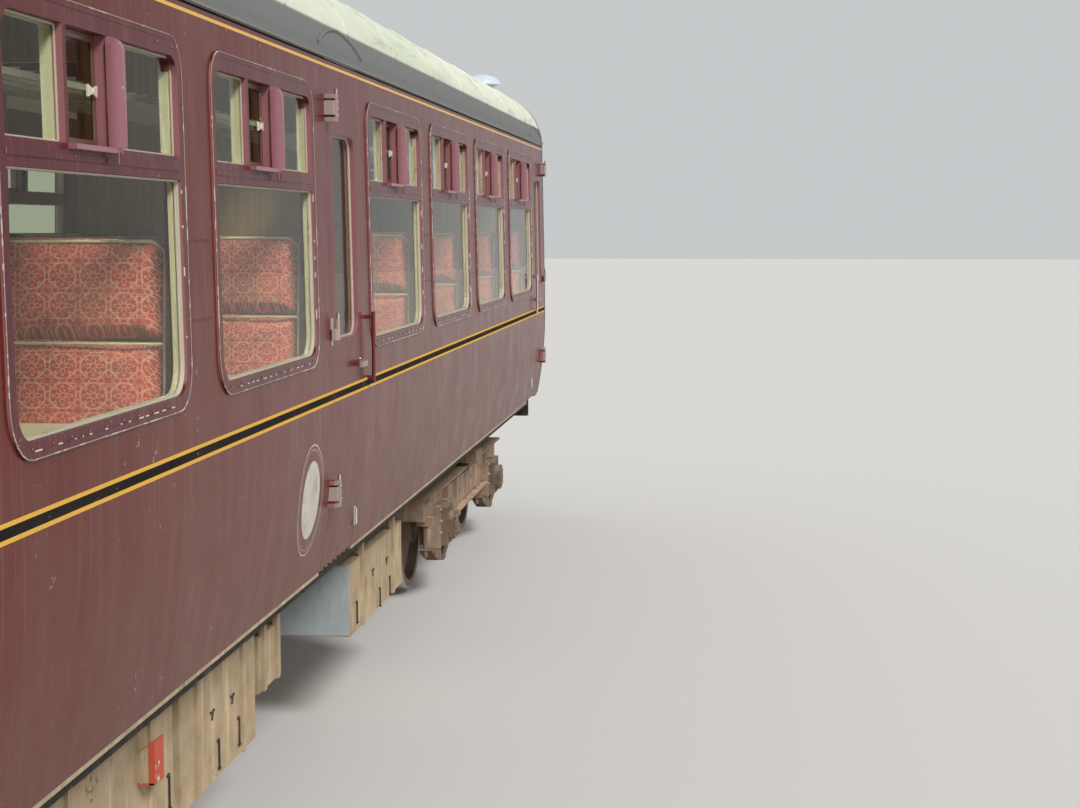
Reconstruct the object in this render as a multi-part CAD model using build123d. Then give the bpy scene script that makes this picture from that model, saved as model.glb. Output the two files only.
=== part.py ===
from build123d import *
import math
import os

os.makedirs("parts", exist_ok=True)

# Passenger coach, in millimetres. X runs along the coach with the front at +X, -Y is its right-hand
# side, and Z is up. The origin is under the middle of the coach, at the tips of the wheel flanges.

# Wheels and rail level
FLANGE_HEIGHT = 28.6
TREAD_DIAMETER = 914.4
WHEEL_BACK = 680.0
WHEEL_WIDTH = 135.0
FLANGE_WIDTH = 32.0
RIM_DEPTH = 62.0
WEB_THICKNESS = 26.0
HUB_RADIUS = 125.0
HUB_LENGTH = 178.0
HUB_INSET = 14.0
WEB_INSET = 46.0
WEB_FLARE = 12.0
FLANGE_TIP = 8.0
TREAD_FALL = 3.5
AXLE_RADIUS = 82.0
JOURNAL_RADIUS = 65.0
JOURNAL_END = 1062.0
JOURNAL_FLOAT = 6.0
RUNNING_FIT = 0.08
SEAT_GAP = 0.3


def above_rail(height):
    """Height over the wheel flanges' tips of a height over the rail."""
    return FLANGE_HEIGHT + height


# Body shell
BODY_WIDTH = 2743.0
CANTRAIL_IN = 26.5
END_BOW = 80.0
TUMBLE_IN = 70.0
WALL = 65.0
END_WALL = 70.0
END_SKIRT = 110.0
END_LIFT = 8.0
BODY_BOTTOM = above_rail(1045.0)
WAIST_LOW = above_rail(1740.0)
WAIST_HIGH = above_rail(1930.0)
CANTRAIL = above_rail(3228.0)
ROOF_CROWN = above_rail(3772.0)
SHOULDER_RADIUS = 460.0
GUTTER_LOW = 8.0
GUTTER_HEIGHT = 26.0
GUTTER_PROUD = 14.0

# Floor and underframe
FLOOR_TOP = above_rail(1250.0)
FLOOR_THICKNESS = 70.0
SOLEBAR_INSET = 141.5
SOLEBAR_DEPTH = 230.0
SOLEBAR_FLANGE = 75.0
SOLEBAR_PLATE = 14.0
HEADSTOCK_INSET = 165.0
HEADSTOCK_DEPTH = 330.0
HEADSTOCK_FLANGE = 90.0
GIRDER_Y = 700.0
CROSS_DEPTH = 150.0
CROSS_FLANGE = 70.0
CROSS_PLATE = 12.0
CROSS_SPACES = 8
BOLSTER_DEPTH = 165.0
BOLSTER_WIDTH = 420.0
TRUSS_DROP = 560.0
TRUSS_BAR = 75.0
TRUSS_PLATE = 12.0
TRUSS_Y = 600.0
TRUSS_FROM_BOGIE = 2386.5
TRUSS_SLOPE = 1400.0

# Rooms along the coach, from its rear end to its front end
LAVATORY_LENGTH = 1885.0
REAR_VESTIBULE = 760.0
CENTRE_VESTIBULE = 740.0
FRONT_VESTIBULE = 895.0
BAY_PITCH = 1880.0
BAYS = 4
PARTITION = 40.0
PASSAGE_WIDTH = 620.0
PASSAGE_HEIGHT = 1960.0
LAVATORY_WALL_Y = 340.0
LAVATORY_WALL_HEIGHT = 2200.0

# Bay windows, measured at the glass
GLASS_WIDTH = 1450.0
MAIN_GLASS_LOW = above_rail(2000.0)
MAIN_GLASS_HIGH = above_rail(2665.0)
TOP_GLASS_LOW = above_rail(2735.0)
TOP_GLASS_HIGH = above_rail(3040.0)
GLASS_CORNER = 95.0
TOP_CORNER = 70.0
FRAME_BORDER = 34.0
FRAME_TOP_BORDER = 62.0
FRAME_LAP = 12.0
FRAME_PROUD = 7.0
FRAME_DEPTH = 46.0
FRAME_CORNER = 105.0
GLASS_THICKNESS = 6.0
GLASS_INSET = 16.0
SLIDER_INSET = 32.0
TOP_BAR = 26.0
SLIDER_START = 0.30
SLIDER_END = 0.545
HOOD_WIDTH = 50.0
HOOD_PROUD = 44.0
HOOD_STEPS = 6
LEDGE_HEIGHT = 14.0
LEDGE_PROUD = 24.0

# Lavatory windows
LAVATORY_WINDOW_FROM_WALL = 875.0
LAVATORY_WINDOW_WIDTH = 560.0

# Side doors, three on each side
DOOR_WIDTH = 670.0
REAR_DOOR_FROM_SALOON = 400.0
CENTRE_DOOR_FROM_SALOON = 460.0
FRONT_DOOR_FROM_SALOON = 370.0
DOOR_THICKNESS = 55.0
DOOR_GAP = 7.0
DOOR_BEVEL = 0.18
DOOR_BOTTOM = BODY_BOTTOM + 6.0
DOOR_GLASS_WIDTH = 470.0
DOOR_GLASS_LOW = above_rail(2035.0)
DOOR_GLASS_HIGH = above_rail(2918.0)
DOOR_GLASS_CORNER = 75.0
DOOR_GLASS_INSET = 30.0
HINGE_STAND = 20.0
HINGE_RADIUS = 9.0
HINGE_LENGTH = 78.0
HINGE_LEAF = 7.0
HINGE_REACH = 46.0
HINGE_LUG = 18.0
HINGE_HEIGHTS = (above_rail(1385.0), above_rail(3018.0))
HANDLE_HEIGHT = above_rail(1905.0)
HANDLE_PROUD = 36.0
HANDLE_LENGTH = 130.0
HANDLE_BOSS = 28.0
HANDLE_BAR = 12.0
HANDLE_FROM_EDGE = 97.0
GRAB_LOW = above_rail(1800.0)
GRAB_LENGTH = 330.0
GRAB_RADIUS = 9.0
GRAB_STAND = 29.0
GRAB_FROM_DOOR = 90.0
GRAB_FOOT = 25.0

# Gangways and their doors
GANGWAY_WIDTH = 1040.0
GANGWAY_TOP = above_rail(3190.0)
GANGWAY_WALL = 150.0
GANGWAY_REACH = 240.0
FACE_PLATE = 26.0
PLEATS = 4
PLEAT_DEPTH = 34.0
GANGWAY_DOOR_WIDTH = 640.0
GANGWAY_DOOR_TOP = above_rail(3030.0)
GANGWAY_DOOR_THICKNESS = 40.0
GANGWAY_DOOR_GAP = 8.0
GANGWAY_HINGE_STAND = 16.0
GANGWAY_HINGE_RADIUS = 8.0
GANGWAY_HINGE_HEIGHTS = (above_rail(1420.0), above_rail(2860.0))
GANGWAY_PANE_WIDTH = 340.0
GANGWAY_PANE_HEIGHT = 620.0

# Buffers and knuckle couplers
BUFFER_HEIGHT = above_rail(1054.0)
BUFFER_Y = 870.0
BUFFER_REACH = 165.0
BUFFER_HEAD_RADIUS = 228.0
BUFFER_SHANK_RADIUS = 92.0
BUFFER_CASE_RADIUS = 108.0
BUFFER_CASE_FLARE = 12.0
BUFFER_CASE_LENGTH = 190.0
BUFFER_HEAD_EDGE = 20.0
BUFFER_HEAD_DOME = 12.0
BUFFER_BASE = 360.0
BUFFER_BASE_HEIGHT = 240.0
BUFFER_BASE_PLATE = 26.0
COUPLER_REACH = 210.0
COUPLER_SHANK = 140.0
COUPLER_HEAD = 250.0
KNUCKLE_HEIGHT = 226.0
# Coupler in plan: distance back from its face, distance to the left of the centreline
COUPLER_HEAD_PLAN = (
    (230, -75), (190, -125), (60, -150), (0, -185), (-5, -150), (60, -70),
    (110, -25), (110, 60), (60, 118), (110, 140), (200, 120), (230, 75),
)
KNUCKLE_PLAN = ((112, 62), (60, 114), (12, 96), (4, 30), (30, 0), (62, 10), (58, 48), (92, 30))

# Seats, tables and racks
SEAT_WIDTH = 1040.0
SEAT_WALL_GAP = 12.0
SEAT_BACK_GAP = 14.0
SEAT_DEPTH = 560.0
SEAT_BOARD = 300.0
SEAT_CUSHION = 150.0
SEAT_TOP = 1236.0
SEAT_SHELL = 22.0
SEAT_RAIL = 40.0
SEAT_LEG_INSET = 60.0
SEAT_FRONT_EDGE = 20.0
CUSHION_INSET = 8.0
BACK_CUSHION = 95.0
BACK_RAKE = 75.0
TABLE_HEIGHT = 700.0
TABLE_THICKNESS = 28.0
TABLE_LENGTH = 560.0
TABLE_REACH = 960.0
TABLE_LEG = 50.0
TABLE_LEG_INSET = 120.0
RACK_HEIGHT = above_rail(2905.0)
RACK_REACH = 350.0
RACK_TUBE = 9.0
RACK_TUBES = 5
RACK_ARM_DEPTH = 70.0
RACK_ARM_NOSE = 14.0
RACK_ARM_WIDTH = 20.0

# Roof ventilators: height over the roof, radius as a share of the full one
VENT_RADIUS = 165.0
VENT_PROFILE = ((-70, 0.55), (20, 0.62), (34, 1.0), (66, 0.94), (98, 0.7), (116, 0.35), (121, 0.0))
VENT_FROM_CENTRE = 420.0
END_VENT_FROM_END = 800.0
END_VENT_Y = -900.0
LAVATORY_VENT_FROM_END = 900.0
LAVATORY_VENT_Y = 620.0

# Bogies
BOGIE_FROM_END = 2743.5
BOGIE_WHEELBASE = 2591.0
FRAME_Y = 1000.0
FRAME_PLATE = 16.0
FRAME_FLANGE = 110.0
FRAME_TOP = above_rail(720.0)
FRAME_MIDDLE_LOW = above_rail(430.0)
FRAME_OUTER_LOW = above_rail(490.0)
FRAME_END_LOW = above_rail(560.0)
FRAME_END_CUT = 160.0
END_BEAM = 70.0
CROSS_TUBE = 24.0
CROSS_TUBE_DROP = 60.0
HORN_GAP = 300.0
HORN_WIDTH = 64.0
HORN_LOW = above_rail(330.0)
HORN_TOP = above_rail(605.0)
TIE_BAR = 14.0
AXLEBOX_LOW = HORN_LOW + SEAT_GAP
AXLEBOX_HIGH = above_rail(590.0)
AXLEBOX_INNER = 905.0
AXLEBOX_OUTER = 1098.0
AXLEBOX_LID = (210.0, 190.0, 42.0)
AXLEBOX_LID_CORNER = 60.0
SPRING_SPAN = 1000.0
SPRING_RISE = 62.0
SPRING_LEAF = 13.0
SPRING_LEAVES = 6
SPRING_WIDTH = 92.0
SPRING_STEP = 0.13
SPRING_PAD = 16.0
BUCKLE_HALF = 55.0
BUCKLE_EDGE = 12.0
HANGER_RADIUS = 15.0
HANGER_FROM_EYE = 16.0
HANGER_OUTER_TOP = above_rail(515.0)
HANGER_BRACKET = (28.0, 60.0)
TRANSOM_X = 270.0
TRANSOM_WIDTH = 90.0
TRANSOM_LOW = above_rail(520.0)
BOGIE_BOLSTER_WIDTH = 330.0
BOGIE_BOLSTER_LOW = above_rail(745.0)
BOGIE_BOLSTER_TOP = above_rail(885.0)
BOGIE_BOLSTER_REACH = 1130.0
BOGIE_BOLSTER_FLAT = 790.0
BOGIE_BOLSTER_EDGE = 80.0
COIL_RADIUS = 92.0
COIL_Y = 845.0
PLANK_END = 110.0
LINK_WIDTH = 34.0
LINK_LENGTH = 70.0
LINK_TOP = above_rail(660.0)
LINK_Y = (700.0, 905.0)
PLANK_LOW = above_rail(300.0)
PLANK_THICKNESS = 45.0
PIVOT_RADIUS = 70.0
PIVOT_PLATE_RADIUS = 200.0
PIVOT_PLATE = 40.0
BRAKE_GAP = 8.0
BRAKE_BLOCK = 48.0
BRAKE_BLOCK_WIDTH = 78.0
BRAKE_ANGLE = 17.0
BRAKE_BEAM = 22.0
BRAKE_BEAM_HEIGHT = 68.0
BRAKE_HANGER = 16.0
BRAKE_HANGER_WIDTH = 44.0
BRAKE_FROM_FLANGE = 12.0

# Boxes hung below the floor
BOX_FROM_SOLEBAR = 5.0
BOX_INNER_Y = 625.0
BOX_STRAP = 24.0
BOX_STRAP_WIDTH = 44.0
BOX_STRAP_INSET = 0.2
BOX_TOP_DROP = 70.0
RIGHT_BOX_TOP_DROP = 125.0
BOX_DROP = 490.0
LEFT_BOX_DROP = 460.0
BATTERY_BOXES = ((-2420.0, -1090.0), (-1010.0, 60.0))
RIGHT_BOX = (2000.0, 3510.0)
LEFT_BOX = (-1200.0, 300.0)
SMALL_BOX = (120.0, 510.0)
SMALL_BOX_TOP_DROP = 100.0
SMALL_BOX_DROP = 330.0
SMALL_BOX_INNER_Y = 900.0
CYLINDER_X = 4300.0
CYLINDER_RADIUS = 235.0
CYLINDER_HEIGHT = 440.0
CYLINDER_DROP = 200.0
CYLINDER_HANGER = 60.0

# Derived sizes
SALOON_LENGTH = BAY_PITCH * BAYS
VESTIBULES = REAR_VESTIBULE + CENTRE_VESTIBULE + FRONT_VESTIBULE
BODY_LENGTH = 2 * (END_WALL + SALOON_LENGTH) + LAVATORY_LENGTH + VESTIBULES + 5 * PARTITION
HALF_LENGTH = BODY_LENGTH / 2
HALF_WIDTH = BODY_WIDTH / 2
CANTRAIL_WIDTH = BODY_WIDTH - 2 * CANTRAIL_IN
SOLEBAR_Y = HALF_WIDTH - SOLEBAR_INSET
HEADSTOCK_X = HALF_LENGTH - HEADSTOCK_INSET
GANGWAY_FACE = HALF_LENGTH + GANGWAY_REACH
BUFFER_FACE = HALF_LENGTH + BUFFER_REACH
COUPLER_FACE = HALF_LENGTH + COUPLER_REACH
BOGIE_CENTRE = HALF_LENGTH - BOGIE_FROM_END
TRUSS_LONG = BOGIE_CENTRE - TRUSS_FROM_BOGIE
TRUSS_FLAT = TRUSS_LONG - TRUSS_SLOPE
BOX_OUTER_Y = SOLEBAR_Y - SOLEBAR_FLANGE - BOX_FROM_SOLEBAR
LAVATORY_WALL_X = END_WALL + LAVATORY_LENGTH - HALF_LENGTH
LAVATORY_WINDOW_X = LAVATORY_WALL_X - LAVATORY_WINDOW_FROM_WALL
REAR_SALOON_END = LAVATORY_WALL_X + REAR_VESTIBULE + 2 * PARTITION
REAR_SALOON_START = REAR_SALOON_END + SALOON_LENGTH
FRONT_SALOON_START = REAR_SALOON_START + CENTRE_VESTIBULE + 2 * PARTITION
FRONT_SALOON_END = FRONT_SALOON_START + SALOON_LENGTH
WHEEL_HEIGHT = FLANGE_HEIGHT + TREAD_DIAMETER / 2
TREAD_RADIUS = TREAD_DIAMETER / 2
FLANGE_RADIUS = TREAD_RADIUS + FLANGE_HEIGHT
TUMBLE_DROP = WAIST_LOW - BODY_BOTTOM
TUMBLE_RADIUS = (TUMBLE_DROP ** 2 + TUMBLE_IN ** 2) / (2 * TUMBLE_IN)
BOW_RADIUS = (HALF_WIDTH ** 2 + END_BOW ** 2) / (2 * END_BOW)
LEAN = CANTRAIL_IN / (CANTRAIL - WAIST_HIGH)
SHOULDER_Y = CANTRAIL_WIDTH / 2 - SHOULDER_RADIUS
ROOF_RISE = ROOF_CROWN - CANTRAIL
CROWN_RADIUS = (SHOULDER_Y ** 2 + ROOF_RISE ** 2 - SHOULDER_RADIUS ** 2) / (2 * (ROOF_RISE - SHOULDER_RADIUS))
CROWN_Z = ROOF_CROWN - CROWN_RADIUS
CORNER_X = HALF_LENGTH - END_BOW
SIDE_END = CORNER_X - END_WALL
FLOOR_LOW = FLOOR_TOP - FLOOR_THICKNESS
SOLEBAR_LOW = FLOOR_LOW - SOLEBAR_DEPTH
SIDES = {"left": 1, "right": -1}
ENDS = {"front": 1, "rear": -1}
FRONT_BAYS = [FRONT_SALOON_START + BAY_PITCH * (i + 0.5) for i in range(BAYS)]
REAR_BAYS = [REAR_SALOON_START - BAY_PITCH * (i + 0.5) for i in range(BAYS)]
BAY_CENTRES = FRONT_BAYS + REAR_BAYS
HINGE_Y = HALF_WIDTH + HINGE_STAND
# Each door: name, centre, end of the coach to which its hinge edge looks on the right and the left side
DOORS = (
    ("rear", REAR_SALOON_END - REAR_DOOR_FROM_SALOON, -1, -1),
    ("centre", REAR_SALOON_START + CENTRE_DOOR_FROM_SALOON, -1, 1),
    ("front", FRONT_SALOON_END + FRONT_DOOR_FROM_SALOON, 1, 1),
)
BRAKE_REACH = TREAD_RADIUS + BRAKE_GAP + BRAKE_BLOCK + BRAKE_BEAM
FRAME_END_X = BOGIE_WHEELBASE / 2 + BRAKE_REACH + END_BEAM
END_LOW = FLOOR_LOW + END_LIFT


def block(x_span, y_span, z_span):
    """Box between two corners, given as three spans."""
    size = [abs(span[1] - span[0]) for span in (x_span, y_span, z_span)]
    middle = [(span[0] + span[1]) / 2 for span in (x_span, y_span, z_span)]
    return Pos(*middle) * Box(*size)


def side_block(side, x_span, y_span, z_span):
    """Box on one side of the coach, its y span measured out from the centreline."""
    return block(x_span, (side * y_span[0], side * y_span[1]), z_span)


def along_x(face, start, end):
    """Extrude a face drawn in (y, z) from one x to another."""
    return extrude(Plane.YZ.offset(start) * face, amount=end - start)


def across_y(face, start, end):
    """Extrude a face drawn in (x, z) from one y to another."""
    return extrude(Plane.XZ.offset(-start) * face, amount=-(end - start))


def upwards(face, low, high):
    """Extrude a face drawn in plan from one height to another."""
    return extrude(Plane.XY.offset(low) * face, amount=high - low)


def outline(*points):
    """Flat face with straight edges through the given points."""
    return make_face(Polyline(*points, close=True))


def opening_face(width, low, high, low_corner, high_corner):
    """Window shape about x = 0 with its own radius at the lower and upper corners."""
    face = Pos(0, (low + high) / 2) * Rectangle(width, high - low)
    if low_corner:
        face = fillet(face.vertices().sort_by(Axis.Y)[:2], low_corner)
    if high_corner:
        face = fillet(face.vertices().sort_by(Axis.Y)[-2:], high_corner)
    return face


def through_side(face, centre_x):
    """Prism of a window shape right across the coach at one place along it."""
    return extrude(Plane.XZ * Pos(centre_x, 0) * face, amount=BODY_WIDTH, both=True)


def save(name, *shapes):
    """Write the solids of one node."""
    solids = []
    for shape in shapes:
        solids.extend(shape.solids())
    whole = solids[0] if len(solids) == 1 else Compound(children=solids)
    export_step(whole, f"parts/{name}.step")
    return whole


# Body section

def side_y(height, inset=0.0):
    """Distance from the centreline to the side panel at a height, less an inset."""
    if height < WAIST_LOW:
        drop = WAIST_LOW - height
        return HALF_WIDTH - TUMBLE_RADIUS + math.sqrt((TUMBLE_RADIUS - inset) ** 2 - drop ** 2)
    return HALF_WIDTH - inset - max(0.0, height - WAIST_HIGH) * LEAN


def side_edges(inset, low, high):
    """Edges of the left-hand side panel's line, from low to high."""
    edges = []
    if low < WAIST_LOW:
        top = min(high, WAIST_LOW)
        levels = (low, (low + top) / 2, top)
        edges.append(ThreePointArc(*[(side_y(level, inset), level) for level in levels]))
        low = top
    levels = [level for level in (low, WAIST_HIGH, high) if low <= level <= high]
    levels = sorted(set(levels))
    for lower, upper in zip(levels, levels[1:]):
        edges.append(Line((side_y(lower, inset), lower), (side_y(upper, inset), upper)))
    return edges


def side_strip(outer, inner, low, high):
    """Cross-section of the left-hand side wall between two insets and two heights."""
    edges = side_edges(outer, low, high) + side_edges(inner, low, high)
    edges.append(Line((side_y(low, outer), low), (side_y(low, inner), low)))
    edges.append(Line((side_y(high, outer), high), (side_y(high, inner), high)))
    return make_face(edges)


def wall_piece(side, outer, inner, low, high, start, end):
    """Length of side wall on one side of the coach."""
    piece = along_x(side_strip(outer, inner, low, high), start, end)
    return piece if side > 0 else mirror(piece, about=Plane.XZ)


def roof_edges(inset):
    """Edges of the roof line from the right-hand cantrail over the crown to the left-hand one."""
    swing = math.degrees(math.atan2(SHOULDER_Y, CANTRAIL - CROWN_Z))
    shoulder = SHOULDER_RADIUS - inset
    crown = CenterArc((0, CROWN_Z), CROWN_RADIUS - inset, 90 - swing, 2 * swing)
    left = CenterArc((SHOULDER_Y, CANTRAIL), shoulder, 0, 90 - swing)
    right = CenterArc((-SHOULDER_Y, CANTRAIL), shoulder, 90 + swing, 90 - swing)
    return [left, crown, right]


def body_section(inset, low):
    """Whole cross-section of the body, drawn in from its outside by an inset."""
    edges = roof_edges(inset)
    for edge in side_edges(inset, low, CANTRAIL):
        edges.append(edge)
        edges.append(mirror(edge, about=Plane.YZ))
    edges.append(Line((-side_y(low, inset), low), (side_y(low, inset), low)))
    return make_face(edges)


def body_plan(inset):
    """Plan of the body with its bowed ends, drawn in at the ends by an inset."""
    centre = HALF_LENGTH - BOW_RADIUS
    radius = BOW_RADIUS - inset
    corner = centre + math.sqrt(radius ** 2 - HALF_WIDTH ** 2)
    tip = HALF_LENGTH - inset
    front = ThreePointArc((corner, -HALF_WIDTH), (tip, 0), (corner, HALF_WIDTH))
    rear = ThreePointArc((-corner, -HALF_WIDTH), (-tip, 0), (-corner, HALF_WIDTH))
    left = Line((-corner, HALF_WIDTH), (corner, HALF_WIDTH))
    right = Line((-corner, -HALF_WIDTH), (corner, -HALF_WIDTH))
    return make_face([front, left, rear, right])


def body_block(side_inset, end_inset, low):
    """Solid block of the body's shape, drawn in at its sides and ends."""
    length = along_x(body_section(side_inset, low), -HALF_LENGTH, HALF_LENGTH)
    return length & upwards(body_plan(end_inset), low, ROOF_CROWN)


# Side walls, roof and ends

def door_plan(side, centre, hinge_end, gap):
    """Plan of a side doorway, or of its door where the gap is taken off, with a bevelled lock edge."""
    hinge_x = centre + hinge_end * DOOR_WIDTH / 2
    depth = HINGE_STAND + TUMBLE_IN + 2 * WALL
    lock = DOOR_WIDTH - gap
    points = (
        (gap, 0.0),
        (lock + DOOR_BEVEL * HINGE_STAND, 0.0),
        (lock - DOOR_BEVEL * (depth - HINGE_STAND), depth),
        (gap, depth),
    )
    return outline(*[(hinge_x - hinge_end * along, side * (HINGE_Y - inward)) for along, inward in points])


def doors_on(side):
    """Name, centre and hinge end of each door on one side."""
    return [(name, centre, left if side > 0 else right) for name, centre, right, left in DOORS]


def hinge_half(side, hinge_x, away, low, high):
    """Half of a side door's hinge between two heights: knuckle and a stout bracket let into the panel."""
    seat = min(side_y(low), side_y(high)) - HINGE_LEAF
    half = Pos(hinge_x, side * HINGE_Y, (low + high) / 2) * Cylinder(HINGE_RADIUS, high - low)
    tip = hinge_x + away * HINGE_REACH
    half += side_block(side, (hinge_x, tip), (HINGE_Y - HINGE_LEAF, HINGE_Y), (low, high))
    bracket = (hinge_x + away * HINGE_LEAF, tip)
    return half + side_block(side, bracket, (seat, HINGE_Y), (low, high))


def hinge_lugs(side, hinge_x, away):
    """Lugs on the body over and under each knuckle of a side door."""
    lugs = []
    for height in HINGE_HEIGHTS:
        for way in (1, -1):
            near = height + way * (HINGE_LENGTH / 2 + SEAT_GAP)
            low, high = sorted((near, near + way * HINGE_LUG))
            lugs.append(hinge_half(side, hinge_x, away, low, high))
    return lugs


def bay_aperture(grow=0.0):
    """Hole in the side wall that takes a bay window's frame."""
    return opening_face(
        GLASS_WIDTH + 2 * (FRAME_BORDER - grow),
        MAIN_GLASS_LOW - FRAME_BORDER + grow,
        TOP_GLASS_HIGH + FRAME_BORDER - grow,
        GLASS_CORNER + FRAME_BORDER - grow,
        FRAME_CORNER - grow,
    )


def lavatory_aperture(grow=0.0):
    """Hole in the side wall that takes a lavatory window's frame."""
    return opening_face(
        LAVATORY_WINDOW_WIDTH + 2 * (FRAME_BORDER - grow),
        MAIN_GLASS_LOW - FRAME_BORDER + grow,
        TOP_GLASS_HIGH + FRAME_BORDER - grow,
        GLASS_CORNER + FRAME_BORDER - grow,
        FRAME_CORNER - grow,
    )


def side_wall(side):
    """Side wall in four lengths between the doorways, with its window holes."""
    wall = wall_piece(side, 0, WALL, BODY_BOTTOM, CANTRAIL, -SIDE_END, SIDE_END)
    for _, centre, hinge_end in doors_on(side):
        wall -= upwards(door_plan(side, centre, hinge_end, 0), BODY_BOTTOM - WALL, CANTRAIL + WALL)
    for centre in BAY_CENTRES:
        wall -= through_side(bay_aperture(), centre)
    wall -= through_side(lavatory_aperture(), LAVATORY_WINDOW_X)
    for _, centre, hinge_end in doors_on(side):
        for lug in hinge_lugs(side, centre + hinge_end * DOOR_WIDTH / 2, hinge_end):
            wall += lug
    return wall


def roof():
    """Roof shell in three panels: two shoulders, each with a gutter, and the crown between them."""
    panels = []
    for outer, inner in zip(roof_edges(0), roof_edges(WALL)):
        sides = [Line(outer @ 0, inner @ 0), Line(outer @ 1, inner @ 1)]
        panels.append(along_x(make_face([outer, inner, *sides]), -SIDE_END, SIDE_END))
    gutter_low = CANTRAIL + GUTTER_LOW
    edge = CANTRAIL_WIDTH / 2
    left, crown, right = panels
    gutter = [(-SIDE_END, SIDE_END), (edge - GUTTER_PROUD, edge + GUTTER_PROUD)]
    gutter.append((gutter_low, gutter_low + GUTTER_HEIGHT))
    return [left + side_block(1, *gutter), crown, right + side_block(-1, *gutter)]


def gangway_hinge_half(end, away, low, high):
    """Half of an end door's hinge between two heights: knuckle, leaf and a foot towards the wall."""
    inner = HALF_LENGTH - END_WALL
    pin_x = end * (inner - GANGWAY_HINGE_STAND)
    pin_y = GANGWAY_DOOR_WIDTH / 2
    tip = pin_y + away * HINGE_REACH
    half = Pos(pin_x, pin_y, (low + high) / 2) * Cylinder(GANGWAY_HINGE_RADIUS, high - low)
    half += block((pin_x - HINGE_LEAF / 2, pin_x + HINGE_LEAF / 2), (pin_y, tip), (low, high))
    return half + block((pin_x, end * inner), (tip - away * HINGE_REACH * 0.6, tip), (low, high))


def end_wall(end):
    """Bowed end of the body with the gangway doorway through it."""
    shell = body_block(0, 0, BODY_BOTTOM) - body_block(WALL, END_WALL, BODY_BOTTOM)
    reach = sorted((end * SIDE_END, end * (HALF_LENGTH + END_WALL)))
    wall = shell & block(reach, (-BODY_WIDTH, BODY_WIDTH), (BODY_BOTTOM, ROOF_CROWN + WALL))
    half = GANGWAY_DOOR_WIDTH / 2
    wall -= block(reach, (-half, half), (FLOOR_TOP, GANGWAY_DOOR_TOP))
    middle = HALF_WIDTH - END_SKIRT - TUMBLE_IN
    wall -= block(reach, (-middle, middle), (BODY_BOTTOM - WALL, END_LOW))
    for height in GANGWAY_HINGE_HEIGHTS:
        for way in (1, -1):
            near = height + way * (HINGE_LENGTH / 2 + SEAT_GAP)
            low, high = sorted((near, near + way * HINGE_LUG))
            wall += gangway_hinge_half(end, 1, low, high)
    return wall


# Windows

def top_light_openings():
    """Three openings of a bay's top light: fixed pane, sliding pane, fixed pane."""
    left = -GLASS_WIDTH / 2
    first_bar = left + GLASS_WIDTH * SLIDER_START
    second_bar = left + GLASS_WIDTH * SLIDER_END
    spans = (
        (left, first_bar - TOP_BAR / 2),
        (first_bar + TOP_BAR / 2, second_bar - TOP_BAR / 2),
        (second_bar + TOP_BAR / 2, -left),
    )
    return spans


def top_light_face(clearance=0.0):
    """Shape of a bay's whole top light."""
    return opening_face(
        GLASS_WIDTH - 2 * clearance,
        TOP_GLASS_LOW + clearance,
        TOP_GLASS_HIGH - clearance,
        0,
        TOP_CORNER - clearance,
    )


def main_light_face(clearance=0.0, width=GLASS_WIDTH):
    """Shape of the large lower pane."""
    return opening_face(
        width - 2 * clearance,
        MAIN_GLASS_LOW + clearance,
        MAIN_GLASS_HIGH - clearance,
        GLASS_CORNER - clearance,
        0,
    )


def span_prism(span, clearance=0.0):
    """Upright slab across the coach between two places along it."""
    reach = (span[0] + clearance, span[1] - clearance)
    return block(reach, (-BODY_WIDTH, BODY_WIDTH), (TOP_GLASS_LOW, TOP_GLASS_HIGH))


def bay_frame(side):
    """Window frame of one bay about x = 0: a lapping flange and a lining that carries the glass."""
    low = MAIN_GLASS_LOW - FRAME_BORDER - FRAME_LAP
    high = TOP_GLASS_HIGH + FRAME_TOP_BORDER
    reach = GLASS_WIDTH / 2 + FRAME_BORDER + FRAME_LAP
    flange = wall_piece(side, -FRAME_PROUD, 0, low, high, -reach, reach)
    flange &= through_side(
        opening_face(2 * reach, low, high, GLASS_CORNER + FRAME_BORDER + FRAME_LAP, FRAME_CORNER + FRAME_LAP), 0
    )
    lining = wall_piece(side, 0, FRAME_DEPTH, low, high, -reach, reach)
    lining &= through_side(bay_aperture(SEAT_GAP), 0)
    frame = flange + lining
    frame -= through_side(main_light_face(), 0)
    light = through_side(top_light_face(), 0)
    for span in top_light_openings():
        frame -= light & span_prism(span)
    return frame


def bay_glass(side):
    """Panes of one bay: the main pane, two fixed top panes and the sliding pane set further in."""
    low = MAIN_GLASS_LOW
    high = TOP_GLASS_HIGH
    half = GLASS_WIDTH / 2
    outer = wall_piece(side, GLASS_INSET, GLASS_INSET + GLASS_THICKNESS, low, high, -half, half)
    inner = wall_piece(side, SLIDER_INSET, SLIDER_INSET + GLASS_THICKNESS, low, high, -half, half)
    light = through_side(top_light_face(SEAT_GAP), 0)
    panes = [outer & through_side(main_light_face(SEAT_GAP), 0)]
    for index, span in enumerate(top_light_openings()):
        sheet = inner if index == 1 else outer
        panes.append(sheet & light & span_prism(span, SEAT_GAP))
    return panes


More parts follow.
